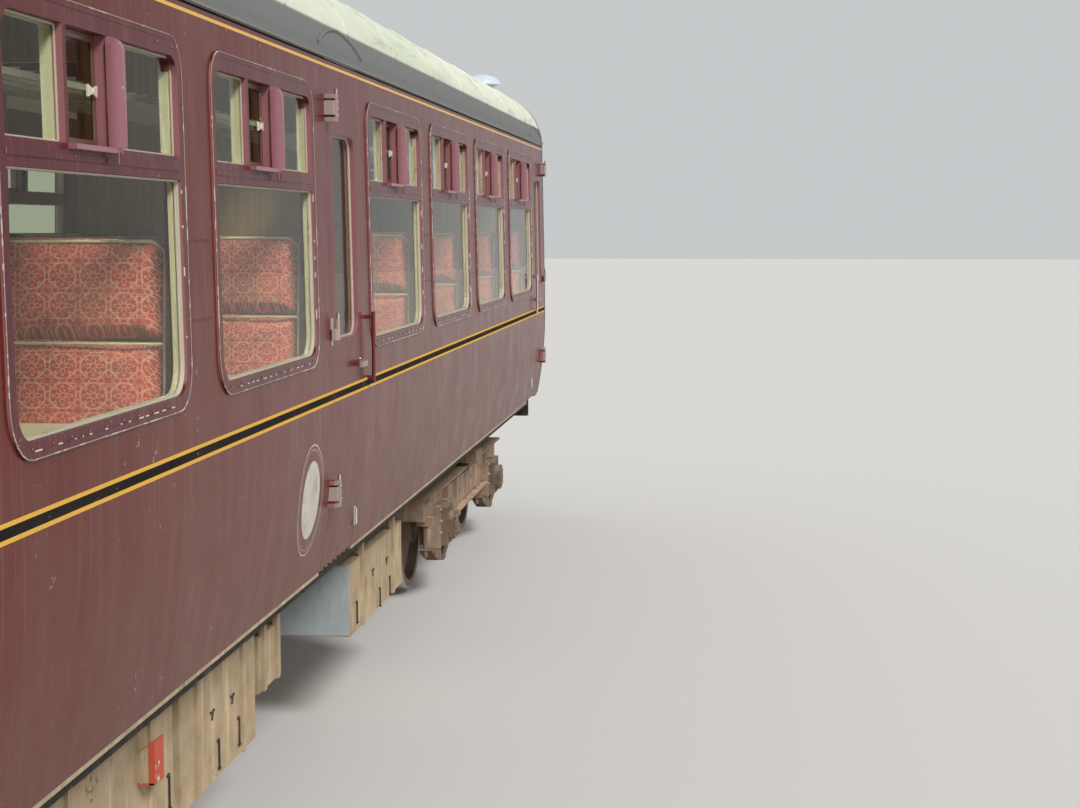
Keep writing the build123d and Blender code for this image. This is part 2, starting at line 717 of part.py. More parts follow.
def bay_hood(side):
    """Upright half-round air deflector on a small drained ledge below the sliding pane."""
    bar_x = -GLASS_WIDTH / 2 + GLASS_WIDTH * SLIDER_END
    slider_x = -GLASS_WIDTH / 2 + GLASS_WIDTH * SLIDER_START
    foot = side_y(TOP_GLASS_LOW, -FRAME_PROUD)
    lift = side_y(TOP_GLASS_HIGH, -FRAME_PROUD)
    radius = HOOD_WIDTH / 2
    plan = Pos(bar_x, foot) * Ellipse(radius, HOOD_PROUD)
    top = TOP_GLASS_HIGH
    hood = upwards(plan, TOP_GLASS_LOW, top)
    front = opening_face(HOOD_WIDTH, TOP_GLASS_LOW, top, 0, radius - 1)
    hood &= through_side(front, bar_x)
    curve = [math.radians(90 * step / HOOD_STEPS) for step in range(HOOD_STEPS + 1)]
    crown = [(lift + HOOD_PROUD * math.cos(a), top - HOOD_PROUD * (1 - math.sin(a))) for a in curve]
    profile = outline((foot, TOP_GLASS_LOW), (foot + HOOD_PROUD, TOP_GLASS_LOW), *crown)
    hood &= along_x(profile, bar_x - radius, bar_x + radius)
    ledge = block(
        (slider_x, bar_x + radius),
        (side_y(TOP_GLASS_LOW - LEDGE_HEIGHT, -FRAME_PROUD), foot + LEDGE_PROUD),
        (TOP_GLASS_LOW - LEDGE_HEIGHT, TOP_GLASS_LOW),
    )
    piece = hood + ledge
    return piece if side > 0 else mirror(piece, about=Plane.XZ)


def lavatory_frame(side):
    """Frame of the lavatory window about x = 0."""
    low = MAIN_GLASS_LOW - FRAME_BORDER - FRAME_LAP
    high = TOP_GLASS_HIGH + FRAME_TOP_BORDER
    reach = LAVATORY_WINDOW_WIDTH / 2 + FRAME_BORDER + FRAME_LAP
    flange = wall_piece(side, -FRAME_PROUD, 0, low, high, -reach, reach)
    flange &= through_side(
        opening_face(2 * reach, low, high, GLASS_CORNER + FRAME_BORDER + FRAME_LAP, FRAME_CORNER + FRAME_LAP), 0
    )
    lining = wall_piece(side, 0, FRAME_DEPTH, low, high, -reach, reach)
    lining &= through_side(lavatory_aperture(SEAT_GAP), 0)
    frame = flange + lining
    frame -= through_side(main_light_face(0, LAVATORY_WINDOW_WIDTH), 0)
    frame -= through_side(
        opening_face(LAVATORY_WINDOW_WIDTH, TOP_GLASS_LOW, TOP_GLASS_HIGH, 0, TOP_CORNER), 0
    )
    return frame


def lavatory_glass(side):
    """Panes of the lavatory window."""
    half = LAVATORY_WINDOW_WIDTH / 2
    inner = GLASS_INSET + GLASS_THICKNESS
    sheet = wall_piece(side, GLASS_INSET, inner, MAIN_GLASS_LOW, TOP_GLASS_HIGH, -half, half)
    width = LAVATORY_WINDOW_WIDTH - 2 * SEAT_GAP
    low = TOP_GLASS_LOW + SEAT_GAP
    high = TOP_GLASS_HIGH - SEAT_GAP
    top = through_side(opening_face(width, low, high, 0, TOP_CORNER - SEAT_GAP), 0)
    main = through_side(main_light_face(SEAT_GAP, LAVATORY_WINDOW_WIDTH), 0)
    return [sheet & main, sheet & top]


# Side doors

def door_panel(side, centre, hinge_end):
    """Door leaf with its window hole, hinge leaves, lock handle and grab rail."""
    start = centre - DOOR_WIDTH
    end = centre + DOOR_WIDTH
    leaf = wall_piece(side, 0, DOOR_THICKNESS, DOOR_BOTTOM, CANTRAIL - DOOR_GAP, start, end)
    leaf &= upwards(door_plan(side, centre, hinge_end, DOOR_GAP), DOOR_BOTTOM, CANTRAIL)
    leaf -= through_side(door_glass_face(), centre)
    hinge_x = centre + hinge_end * DOOR_WIDTH / 2
    away = -hinge_end
    for height in HINGE_HEIGHTS:
        leaf += hinge_half(side, hinge_x, away, height - HINGE_LENGTH / 2, height + HINGE_LENGTH / 2)
    lock_x = hinge_x + away * (DOOR_WIDTH - HANDLE_FROM_EDGE)
    boss_y = side_y(HANDLE_HEIGHT)
    boss = HANDLE_BOSS / 2
    leaf += side_block(
        side,
        (lock_x - boss, lock_x + boss),
        (boss_y - HANDLE_BAR, boss_y + HANDLE_PROUD),
        (HANDLE_HEIGHT - boss, HANDLE_HEIGHT + boss),
    )
    leaf += side_block(
        side,
        (lock_x - away * (HANDLE_LENGTH - boss), lock_x + away * boss),
        (boss_y + HANDLE_PROUD - HANDLE_BAR, boss_y + HANDLE_PROUD),
        (HANDLE_HEIGHT - HANDLE_BAR, HANDLE_HEIGHT + HANDLE_BAR),
    )
    return leaf


def door_glass_face(clearance=0.0):
    """Shape of a side door's pane."""
    return opening_face(
        DOOR_GLASS_WIDTH - 2 * clearance,
        DOOR_GLASS_LOW + clearance,
        DOOR_GLASS_HIGH - clearance,
        DOOR_GLASS_CORNER - clearance,
        DOOR_GLASS_CORNER - clearance,
    )


def door_glass(side, centre):
    """Drop light of a side door, set well in from the panel."""
    half = DOOR_GLASS_WIDTH / 2
    sheet = wall_piece(
        side,
        DOOR_GLASS_INSET,
        DOOR_GLASS_INSET + GLASS_THICKNESS,
        DOOR_GLASS_LOW,
        DOOR_GLASS_HIGH,
        centre - half,
        centre + half,
    )
    return sheet & through_side(door_glass_face(SEAT_GAP), centre)


def grab_rails():
    """Upright rail on the body beside the lock edge of each side door."""
    rails = []
    for side in SIDES.values():
        for _, centre, hinge_end in doors_on(side):
            x = centre - hinge_end * (DOOR_WIDTH / 2 + GRAB_FROM_DOOR)
            reach = HALF_WIDTH + GRAB_STAND
            rail = Pos(x, side * reach, GRAB_LOW + GRAB_LENGTH / 2) * Cylinder(GRAB_RADIUS, GRAB_LENGTH)
            for height in (GRAB_LOW + GRAB_FOOT, GRAB_LOW + GRAB_LENGTH - GRAB_FOOT):
                span = (height - GRAB_RADIUS, height + GRAB_RADIUS)
                foot_y = max(side_y(level) for level in span)
                rail += side_block(side, (x - GRAB_RADIUS, x + GRAB_RADIUS), (foot_y, reach), span)
            rails.append(rail)
    return rails


# Ends: gangways, doors, buffers and couplers

def gangway(end):
    """Pleated gangway tube with a plain face plate at its outer end."""
    half = GANGWAY_WIDTH / 2
    base = HALF_LENGTH - END_BOW * (half / HALF_WIDTH) ** 2
    folded = GANGWAY_FACE - FACE_PLATE
    step = (folded - base) / (2 * PLEATS)
    tube = None
    for index in range(2 * PLEATS):
        grow = 0 if index % 2 else -PLEAT_DEPTH
        start = base + step * index
        reach = sorted((end * start, end * (start + step)))
        ring = block(reach, (-half - grow, half + grow), (FLOOR_LOW - grow, GANGWAY_TOP + grow))
        tube = ring if tube is None else tube + ring
    plate = sorted((end * folded, end * GANGWAY_FACE))
    tube += block(plate, (-half, half), (FLOOR_LOW, GANGWAY_TOP))
    passage = sorted((end * (base - END_WALL), end * (GANGWAY_FACE + FACE_PLATE)))
    inner = half - GANGWAY_WALL
    tube -= block(passage, (-inner, inner), (FLOOR_TOP, GANGWAY_TOP - GANGWAY_WALL))
    return tube - body_block(-SEAT_GAP, -SEAT_GAP, BODY_BOTTOM)


def gangway_door(end):
    """End door with a window, hinged on its left-hand edge to open into the coach."""
    half = GANGWAY_DOOR_WIDTH / 2 - GANGWAY_DOOR_GAP
    inner = HALF_LENGTH - END_WALL
    span = sorted((end * inner, end * (inner + GANGWAY_DOOR_THICKNESS)))
    low = FLOOR_TOP + GANGWAY_DOOR_GAP
    high = GANGWAY_DOOR_TOP - GANGWAY_DOOR_GAP
    door = block(span, (-half, half), (low, high))
    pane_low = high - GANGWAY_PANE_HEIGHT - half / 2
    hole = (pane_low, pane_low + GANGWAY_PANE_HEIGHT)
    pane = GANGWAY_PANE_WIDTH / 2
    door -= block(span, (-pane, pane), hole)
    for height in GANGWAY_HINGE_HEIGHTS:
        door += gangway_hinge_half(end, -1, height - HINGE_LENGTH / 2, height + HINGE_LENGTH / 2)
    middle = sum(span) / 2
    glass = block(
        (middle - GLASS_THICKNESS / 2, middle + GLASS_THICKNESS / 2),
        (-pane + SEAT_GAP, pane - SEAT_GAP),
        (hole[0] + SEAT_GAP, hole[1] - SEAT_GAP),
    )
    return door, glass


def buffer(end, side):
    """Retracted buffer: square base, tapered case, shank and slightly domed head."""
    case_end = HEADSTOCK_X + BUFFER_CASE_LENGTH
    edge = BUFFER_FACE - BUFFER_HEAD_DOME
    neck = edge - BUFFER_HEAD_EDGE
    profile = outline(
        (0, HEADSTOCK_X),
        (BUFFER_CASE_RADIUS + BUFFER_CASE_FLARE, HEADSTOCK_X),
        (BUFFER_CASE_RADIUS, case_end),
        (BUFFER_SHANK_RADIUS, case_end),
        (BUFFER_SHANK_RADIUS, neck),
        (BUFFER_HEAD_RADIUS, neck),
        (BUFFER_HEAD_RADIUS, edge),
        (BUFFER_HEAD_RADIUS * 0.6, BUFFER_FACE - BUFFER_HEAD_DOME / 4),
        (0, BUFFER_FACE),
    )
    turned = revolve(Plane.XZ * profile, Axis.Z)
    turned = Rot(0, 90, 0) * turned
    half = BUFFER_BASE / 2
    tall = BUFFER_BASE_HEIGHT / 2
    turned += block((HEADSTOCK_X, HEADSTOCK_X + BUFFER_BASE_PLATE), (-half, half), (-tall, tall))
    placed = Pos(0, side * BUFFER_Y, BUFFER_HEIGHT) * turned
    return placed if end > 0 else mirror(placed, about=Plane.YZ)


def coupler(end):
    """Knuckle coupler: shank, guard arm, head and hooked knuckle."""
    half = COUPLER_SHANK / 2
    neck = COUPLER_FACE - COUPLER_HEAD_PLAN[1][0]
    body = block((HEADSTOCK_X, neck), (-half, half), (-half, half))
    for plan, tall in ((COUPLER_HEAD_PLAN, COUPLER_HEAD), (KNUCKLE_PLAN, KNUCKLE_HEIGHT)):
        face = outline(*[(COUPLER_FACE - back, left) for back, left in plan])
        body += upwards(face, -tall / 2, tall / 2)
    placed = Pos(0, 0, BUFFER_HEIGHT) * body
    return placed if end > 0 else mirror(placed, about=Plane.YZ)


# Floor and underframe

def floor():
    """Floor slab between the side walls."""
    reach = SIDE_END - SEAT_GAP
    section = body_section(WALL + SEAT_GAP, FLOOR_LOW) & Pos(0, (FLOOR_LOW + FLOOR_TOP) / 2) * Rectangle(
        BODY_WIDTH, FLOOR_THICKNESS
    )
    return along_x(section, -reach, reach)


def channel_face(outer, depth, flange, plate):
    """Channel section with its web at +Y, drawn up from z = 0 with its back at an outer y."""
    face = Pos(outer - flange / 2, depth / 2) * Rectangle(flange, depth)
    face -= Pos(outer - plate - flange / 2, depth / 2) * Rectangle(flange, depth - 2 * plate)
    return face


def headstock(end):
    """Deep cross channel at one end of the underframe, its flanges turned inwards."""
    low = FLOOR_LOW - HEADSTOCK_DEPTH
    across = (-SOLEBAR_Y, SOLEBAR_Y)
    web = (end * (HEADSTOCK_X - 2 * SOLEBAR_PLATE), end * HEADSTOCK_X)
    beam = block(web, across, (low, FLOOR_LOW))
    for level in (low, FLOOR_LOW - SOLEBAR_PLATE):
        flange = (end * (HEADSTOCK_X - HEADSTOCK_FLANGE), end * HEADSTOCK_X)
        beam += block(flange, across, (level, level + SOLEBAR_PLATE))
    return beam


def body_bolster(end):
    """Box beam over a bogie with the round plate and pin that the bogie turns on."""
    middle = end * BOGIE_CENTRE
    half = BOLSTER_WIDTH / 2
    inner = SOLEBAR_Y - SOLEBAR_PLATE
    low = FLOOR_LOW - BOLSTER_DEPTH
    beam = block((middle - half, middle + half), (-inner, inner), (low, FLOOR_LOW))
    plate_low = BOGIE_BOLSTER_TOP + PIVOT_PLATE + SEAT_GAP
    beam += Pos(middle, 0, (plate_low + low) / 2) * Cylinder(PIVOT_PLATE_RADIUS, low - plate_low)
    pin = Cylinder(PIVOT_RADIUS, plate_low - BOGIE_BOLSTER_LOW)
    return beam + Pos(middle, 0, (plate_low + BOGIE_BOLSTER_LOW) / 2) * pin


def underframe():
    """Solebars, headstocks, cross channels, bolsters and middle girders, each its own member."""
    bar = Pos(0, SOLEBAR_LOW) * channel_face(SOLEBAR_Y, SOLEBAR_DEPTH, SOLEBAR_FLANGE, SOLEBAR_PLATE)
    reach = HEADSTOCK_X - 2 * SOLEBAR_PLATE
    headstocks = [headstock(end) for end in ENDS.values()]
    solebar = along_x(bar, -reach, reach) - headstocks[0] - headstocks[1]
    solebars = [solebar, mirror(solebar, about=Plane.XZ)]
    inner = SOLEBAR_Y - SOLEBAR_PLATE
    low = FLOOR_LOW - CROSS_DEPTH
    beams = [body_bolster(end) for end in ENDS.values()]
    for index in range(1 - CROSS_SPACES, CROSS_SPACES):
        x = index * HEADSTOCK_X / CROSS_SPACES
        if abs(abs(x) - BOGIE_CENTRE) > BOLSTER_WIDTH:
            cross = block((x, x + CROSS_PLATE), (-inner, inner), (low, FLOOR_LOW))
            beams.append(cross + block((x, x + CROSS_FLANGE), (-inner, inner), (low, low + CROSS_PLATE)))
    beams = [beam - solebars[0] - solebars[1] for beam in beams]
    girders = []
    for side in SIDES.values():
        girder = side_block(side, (-reach, reach), (GIRDER_Y - CROSS_PLATE, GIRDER_Y), (low, FLOOR_LOW))
        for other in beams + headstocks:
            girder -= other
        girders.append(girder)
    return solebars + headstocks + beams + girders


def truss(side):
    """Angle trussing along one side between the bogies, with queen posts and outriggers."""
    top = SOLEBAR_LOW
    low = SOLEBAR_LOW - TRUSS_DROP + TRUSS_BAR
    bar = TRUSS_BAR
    run = TRUSS_LONG - TRUSS_FLAT
    shift = bar * math.hypot(run, top - low) / (top - low)
    ease = shift - bar * run / (top - low)
    inner = TRUSS_Y - bar
    knee = TRUSS_FLAT - ease
    plate = (TRUSS_Y - TRUSS_PLATE, TRUSS_Y)
    chord_face = outline((-TRUSS_FLAT, low), (TRUSS_FLAT, low), (knee, low + bar), (-knee, low + bar))
    chord = across_y(chord_face, *plate)
    chord += block((-TRUSS_FLAT, TRUSS_FLAT), (inner, TRUSS_Y), (low, low + TRUSS_PLATE))
    slope_face = outline((TRUSS_FLAT, low), (TRUSS_LONG, top), (TRUSS_LONG - shift, top), (knee, low + bar))
    slope = across_y(slope_face, *plate)
    slopes = [slope, mirror(slope, about=Plane.YZ)]
    pieces = [chord, *slopes]
    roots = [TRUSS_FLAT * step / 2 for step in (-2, -1, 0, 1, 2)]
    for x in roots:
        post = block((x - bar / 2, x + bar / 2), (inner, TRUSS_Y), (low, top))
        pieces.append(post - chord - slopes[0] - slopes[1])
    for x in roots + [shift / 2 - TRUSS_LONG, TRUSS_LONG - shift / 2]:
        pieces.append(block((x - bar / 2, x + bar / 2), (inner, SOLEBAR_Y - SOLEBAR_FLANGE), (top, top + bar)))
    return pieces if side > 0 else [mirror(piece, about=Plane.XZ) for piece in pieces]


# Equipment below the floor

def hung_box(side, start, end, high, low, outer=BOX_OUTER_Y, inner=BOX_INNER_Y):
    """Closed box on two hanger straps below the solebar."""
    box = side_block(side, (start, end), (inner, outer), (low, high))
    half = BOX_STRAP_WIDTH / 2
    for x in (start + (end - start) * BOX_STRAP_INSET, end - (end - start) * BOX_STRAP_INSET):
        strap = (outer - BOX_STRAP / 2, outer + BOX_STRAP / 2)
        box += side_block(side, (x - half, x + half), strap, (low, SOLEBAR_LOW))
    return box


# Inside: partitions, lavatories, seats, tables and racks

def cross_wall(start, end):
    """Wall across the coach with a doorway in its middle."""
    wall = along_x(body_section(WALL + SEAT_GAP, FLOOR_TOP), start, end)
    half = PASSAGE_WIDTH / 2
    return wall - block((start, end), (-half, half), (FLOOR_TOP, FLOOR_TOP + PASSAGE_HEIGHT))


def seat_frame(side, boundary, facing):
    """Raked back shell, seat board and two pedestals of one double seat."""
    gap = SEAT_BACK_GAP
    board = FLOOR_TOP + SEAT_BOARD
    profile = outline(
        (gap, board),
        (gap + BACK_RAKE, board),
        (gap + SEAT_SHELL, FLOOR_TOP + SEAT_TOP),
        (gap, FLOOR_TOP + SEAT_TOP),
    )
    wall_y = side_y(board, WALL) - SEAT_WALL_GAP
    aisle_y = wall_y - SEAT_WIDTH
    pieces = [across_y(profile, aisle_y, wall_y)]
    pieces.append(block((gap, gap + SEAT_DEPTH - SEAT_RAIL), (aisle_y, wall_y), (board - SEAT_RAIL, board)))
    legs = (gap + SEAT_LEG_INSET, gap + SEAT_DEPTH - 2 * SEAT_LEG_INSET)
    for y in (aisle_y + SEAT_LEG_INSET, wall_y - SEAT_LEG_INSET - SEAT_RAIL):
        pieces.append(block(legs, (y, y + SEAT_RAIL), (FLOOR_TOP, board - SEAT_RAIL)))
    return place_seat(pieces, side, boundary, facing)


def seat_cushions(side, boundary, facing):
    """Seat cushion and raked back cushion of one double seat."""
    gap = SEAT_BACK_GAP
    base = FLOOR_TOP + SEAT_BOARD
    top = FLOOR_TOP + SEAT_TOP
    front = gap + SEAT_DEPTH
    back = gap + SEAT_SHELL
    heel = gap + BACK_RAKE + BACK_CUSHION
    seat = outline(
        (heel + SEAT_GAP, base),
        (front, base),
        (front + SEAT_FRONT_EDGE / 2, base + SEAT_CUSHION / 2),
        (front - SEAT_FRONT_EDGE, base + SEAT_CUSHION),
        (heel + SEAT_GAP, base + SEAT_CUSHION - SEAT_FRONT_EDGE),
    )
    rest = outline(
        (gap + BACK_RAKE, base),
        (heel, base),
        (back + BACK_CUSHION, top - 2 * SEAT_FRONT_EDGE),
        (back + BACK_CUSHION / 2, top + SEAT_FRONT_EDGE / 2),
        (back, top),
    )
    wall_y = side_y(base, WALL) - SEAT_WALL_GAP - CUSHION_INSET
    aisle_y = wall_y - SEAT_WIDTH + 2 * CUSHION_INSET
    pieces = [across_y(profile, aisle_y, wall_y) for profile in (seat, rest)]
    return place_seat(pieces, side, boundary, facing)


def place_seat(pieces, side, boundary, facing):
    """Turn the pieces of a left-hand seat that faces +X to their own side, place and facing."""
    if side < 0:
        pieces = [mirror(piece, about=Plane.XZ) for piece in pieces]
    if facing < 0:
        pieces = [mirror(piece, about=Plane.YZ) for piece in pieces]
    return [Pos(boundary, 0, 0) * piece for piece in pieces]


def table(side, centre):
    """Fixed table below a bay window with one leg at the aisle end."""
    wall_y = side_y(FLOOR_TOP + TABLE_HEIGHT, WALL) - SEAT_GAP
    top = FLOOR_TOP + TABLE_HEIGHT
    half = TABLE_LENGTH / 2
    piece = side_block(
        side,
        (centre - half, centre + half),
        (wall_y - TABLE_REACH, wall_y),
        (top - TABLE_THICKNESS, top),
    )
    leg = wall_y - TABLE_REACH + TABLE_LEG_INSET
    leg_x = (centre - TABLE_LEG / 2, centre + TABLE_LEG / 2)
    return piece + side_block(side, leg_x, (leg, leg + TABLE_LEG), (FLOOR_TOP, top - TABLE_THICKNESS))


def rack(side, start, end):
    """Tubes and brackets of the luggage rack along one side of a saloon."""
    wall_y = side_y(RACK_HEIGHT, WALL) - SEAT_GAP
    pieces = []
    for index in range(RACK_TUBES):
        y = wall_y - RACK_REACH * (index + 1) / RACK_TUBES
        tube = side_block(
            side,
            (start + PARTITION, end - PARTITION),
            (y, y + 2 * RACK_TUBE),
            (RACK_HEIGHT, RACK_HEIGHT + 2 * RACK_TUBE),
        )
        pieces.append(tube)
    count = round((end - start) / BAY_PITCH)
    for index in range(count + 1):
        x = start + (end - start) * index / count
        x = min(max(x, start + PARTITION + RACK_ARM_WIDTH), end - PARTITION - RACK_ARM_WIDTH)
        arm = outline(
            (wall_y, RACK_HEIGHT),
            (wall_y - RACK_REACH, RACK_HEIGHT),
            (wall_y - RACK_REACH, RACK_HEIGHT - RACK_ARM_NOSE),
            (wall_y - 2 * RACK_ARM_NOSE, RACK_HEIGHT - RACK_ARM_DEPTH),
            (wall_y, RACK_HEIGHT - RACK_ARM_DEPTH),
        )
        bracket = along_x(arm, x - RACK_ARM_WIDTH / 2, x + RACK_ARM_WIDTH / 2)
        pieces.append(bracket if side > 0 else mirror(bracket, about=Plane.XZ))
    return pieces


# Roof ventilators

def ventilator(x, y):
    """Domed ventilator standing on the roof."""
    base = CROWN_Z + math.sqrt(CROWN_RADIUS ** 2 - y ** 2)
    if abs(y) > SHOULDER_Y:
        base = CANTRAIL + math.sqrt(SHOULDER_RADIUS ** 2 - (abs(y) - SHOULDER_Y) ** 2)
    edge = [(share * VENT_RADIUS, height) for height, share in VENT_PROFILE]
    dome = revolve(Plane.XZ * outline((0, VENT_PROFILE[0][0]), *edge), Axis.Z)
    reach = 2 * VENT_RADIUS
    return Pos(x, y, base) * dome - along_x(body_section(-SEAT_GAP, WAIST_HIGH), x - reach, x + reach)


# Bogies, drawn about their own pivot

def bogie_frame():
    """Two plate side frames with flanges and horns, transoms, end beams and tie bars."""
    axle = BOGIE_WHEELBASE / 2
    inner = axle - HORN_GAP / 2
    outer = axle + HORN_GAP / 2
    half = (
        (0, FRAME_MIDDLE_LOW),
        (inner - HORN_WIDTH, FRAME_MIDDLE_LOW),
        (inner - HORN_WIDTH, HORN_LOW),
        (inner, HORN_LOW),
        (inner, HORN_TOP),
        (outer, HORN_TOP),
        (outer, HORN_LOW),
        (outer + HORN_WIDTH, HORN_LOW),
        (outer + HORN_WIDTH, FRAME_OUTER_LOW),
        (FRAME_END_X - FRAME_END_CUT, (FRAME_OUTER_LOW + FRAME_END_LOW) / 2),
        (FRAME_END_X, FRAME_END_LOW),
        (FRAME_END_X, FRAME_TOP),
        (0, FRAME_TOP),
    )
    plate_out = FRAME_Y + FRAME_PLATE / 2
    plate_in = FRAME_Y - FRAME_PLATE / 2
    web = across_y(outline(*half), plate_in, plate_out)
    web += mirror(web, about=Plane.YZ)
    flange_out = FRAME_Y + FRAME_FLANGE / 2
    flange_in = FRAME_Y - FRAME_FLANGE / 2
    thick = FRAME_PLATE * 0.9
    side = web + block((-FRAME_END_X, FRAME_END_X), (flange_in, flange_out), (FRAME_TOP - thick, FRAME_TOP))
    middle = inner - HORN_WIDTH
    side += block((-middle, middle), (flange_in, flange_out), (FRAME_MIDDLE_LOW, FRAME_MIDDLE_LOW + thick))
    for end in ENDS.values():
        for near, far in ((inner - HORN_WIDTH, inner), (outer, outer + HORN_WIDTH)):
            side += block(
                (end * near, end * far),
                (flange_in, flange_out),
                (HORN_LOW, HORN_TOP),
            )
        side += block(
            (end * (inner - HORN_WIDTH), end * (outer + HORN_WIDTH)),
            (flange_in, flange_out),
            (HORN_LOW - TIE_BAR, HORN_LOW),
        )
    frame = side + mirror(side, about=Plane.XZ)
    for end in ENDS.values():
        near = TRANSOM_X - TRANSOM_WIDTH / 2
        frame += block(
            (end * near, end * (near + TRANSOM_WIDTH)),
            (-plate_in, plate_in),
            (TRANSOM_LOW, FRAME_TOP - thick),
        )
        frame += block(
            (end * (FRAME_END_X - END_BEAM), end * FRAME_END_X),
            (-plate_in, plate_in),
            (FRAME_END_LOW, FRAME_TOP - thick),
        )
        tube_x = BOGIE_WHEELBASE / 2 - BRAKE_REACH - CROSS_TUBE
        tube = Rot(90, 0, 0) * Cylinder(CROSS_TUBE, 2 * plate_in)
        frame += Pos(end * tube_x, 0, FRAME_TOP - CROSS_TUBE_DROP) * tube
        hanger_x = end * (axle + SPRING_SPAN / 2 - HANGER_FROM_EYE)
        half_width, height = HANGER_BRACKET
        for way in SIDES.values():
            frame += side_block(
                way,
                (hanger_x - half_width, hanger_x + half_width),
                (flange_in, flange_out),
                (HANGER_OUTER_TOP, HANGER_OUTER_TOP + height),
            )
    return frame


def leaf_spring():
    """Laminated spring below the front axle's box about x = 0, on two hanger rods."""
    radius = (SPRING_SPAN ** 2 / 4 + SPRING_RISE ** 2) / (2 * SPRING_RISE)
    top = HORN_LOW - TIE_BAR - SPRING_PAD
    piece = None
    for index in range(SPRING_LEAVES):
        high = top - SPRING_LEAF * index
        half = SPRING_SPAN / 2 * (1 - SPRING_STEP * index)
        upper = radius
        lower = radius + SPRING_LEAF
        centre = high + radius
        angle = math.asin(half / radius)
        points = []
        for level in (upper, lower):
            points.append([(level * math.sin(a), centre - level * math.cos(a)) for a in (-angle, 0, angle)])
        first, second = points
        leaf = make_face([
            ThreePointArc(*first),
            ThreePointArc(*second),
            Line(first[0], second[0]),
            Line(first[2], second[2]),
        ])
        leaf = across_y(leaf, FRAME_Y - SPRING_WIDTH / 2, FRAME_Y + SPRING_WIDTH / 2)
        piece = leaf if piece is None else piece + leaf
    buckle = SPRING_WIDTH / 2 + BUCKLE_EDGE
    bottom = top - SPRING_LEAF * SPRING_LEAVES - BUCKLE_EDGE
    buckle_top = HORN_LOW - TIE_BAR - SEAT_GAP
    piece += block((-BUCKLE_HALF, BUCKLE_HALF), (FRAME_Y - buckle, FRAME_Y + buckle), (bottom, buckle_top))
    eye = SPRING_SPAN / 2 - HANGER_FROM_EYE
    for x, high in ((eye, HANGER_OUTER_TOP - SEAT_GAP), (-eye, FRAME_MIDDLE_LOW - SEAT_GAP)):
        piece += Pos(x, FRAME_Y, (top + high) / 2) * Cylinder(HANGER_RADIUS, high - top)
    return piece


def suspension():
    """Axleboxes, leaf springs with hangers, bolster, spring plank and coil springs."""
    axle = BOGIE_WHEELBASE / 2
    pieces = []
    box_half = HORN_GAP / 2 - SEAT_GAP
    for side in SIDES.values():
        for end in ENDS.values():
            depth = (AXLEBOX_INNER, AXLEBOX_OUTER)
            box = side_block(side, (-box_half, box_half), depth, (AXLEBOX_LOW, AXLEBOX_HIGH))
            lid_width, lid_height, lid_depth = AXLEBOX_LID
            lid = across_y(
                Pos(0, WHEEL_HEIGHT) * RectangleRounded(lid_width, lid_height, AXLEBOX_LID_CORNER),
                side * AXLEBOX_OUTER,
                side * (AXLEBOX_OUTER + lid_depth),
            )
            bore_depth = JOURNAL_END + JOURNAL_FLOAT - AXLEBOX_INNER
            bore = Pos(0, side * (AXLEBOX_INNER + bore_depth / 2), WHEEL_HEIGHT) * Rot(90, 0, 0) * Cylinder(
                JOURNAL_RADIUS + RUNNING_FIT, bore_depth
            )
            pieces.append(Pos(end * axle, 0, 0) * (box + lid - bore))
            spring = leaf_spring()
            if side < 0:
                spring = mirror(spring, about=Plane.XZ)
            if end < 0:
                spring = mirror(spring, about=Plane.YZ)
            pieces.append(Pos(end * axle, 0, 0) * spring)
    return pieces


def bolster():
    """Swing bolster over the side frames, on coil springs that stand on a plank."""
    half = BOGIE_BOLSTER_WIDTH / 2
    reach = BOGIE_BOLSTER_REACH
    plate = outline(
        (-reach, BOGIE_BOLSTER_LOW),
        (reach, BOGIE_BOLSTER_LOW),
        (reach, BOGIE_BOLSTER_LOW + BOGIE_BOLSTER_EDGE),
        (BOGIE_BOLSTER_FLAT, BOGIE_BOLSTER_TOP),
        (-BOGIE_BOLSTER_FLAT, BOGIE_BOLSTER_TOP),
        (-reach, BOGIE_BOLSTER_LOW + BOGIE_BOLSTER_EDGE),
    )
    beam = along_x(plate, -half, half)
    beam += Pos(0, 0, BOGIE_BOLSTER_TOP + PIVOT_PLATE / 2) * Cylinder(PIVOT_PLATE_RADIUS, PIVOT_PLATE)
    depth = BOGIE_BOLSTER_TOP + PIVOT_PLATE - BOGIE_BOLSTER_LOW
    beam -= Pos(0, 0, BOGIE_BOLSTER_LOW + depth / 2) * Cylinder(PIVOT_RADIUS + RUNNING_FIT, depth)
    plank_top = PLANK_LOW + PLANK_THICKNESS
    plank = TRANSOM_X - TRANSOM_WIDTH / 2 - SEAT_GAP
    plank_end = COIL_Y + PLANK_END
    beam += block((-plank, plank), (-plank_end, plank_end), (PLANK_LOW, plank_top))
    tall = BOGIE_BOLSTER_LOW - plank_top
    for side in SIDES.values():
        beam += Pos(0, side * COIL_Y, plank_top + tall / 2) * Cylinder(COIL_RADIUS, tall)
        for y in LINK_Y:
            for edge in ((plank - LINK_WIDTH, plank), (-plank, LINK_WIDTH - plank)):
                link = (y - LINK_LENGTH / 2, y + LINK_LENGTH / 2)
                beam += side_block(side, edge, link, (PLANK_LOW, LINK_TOP))
    return beam


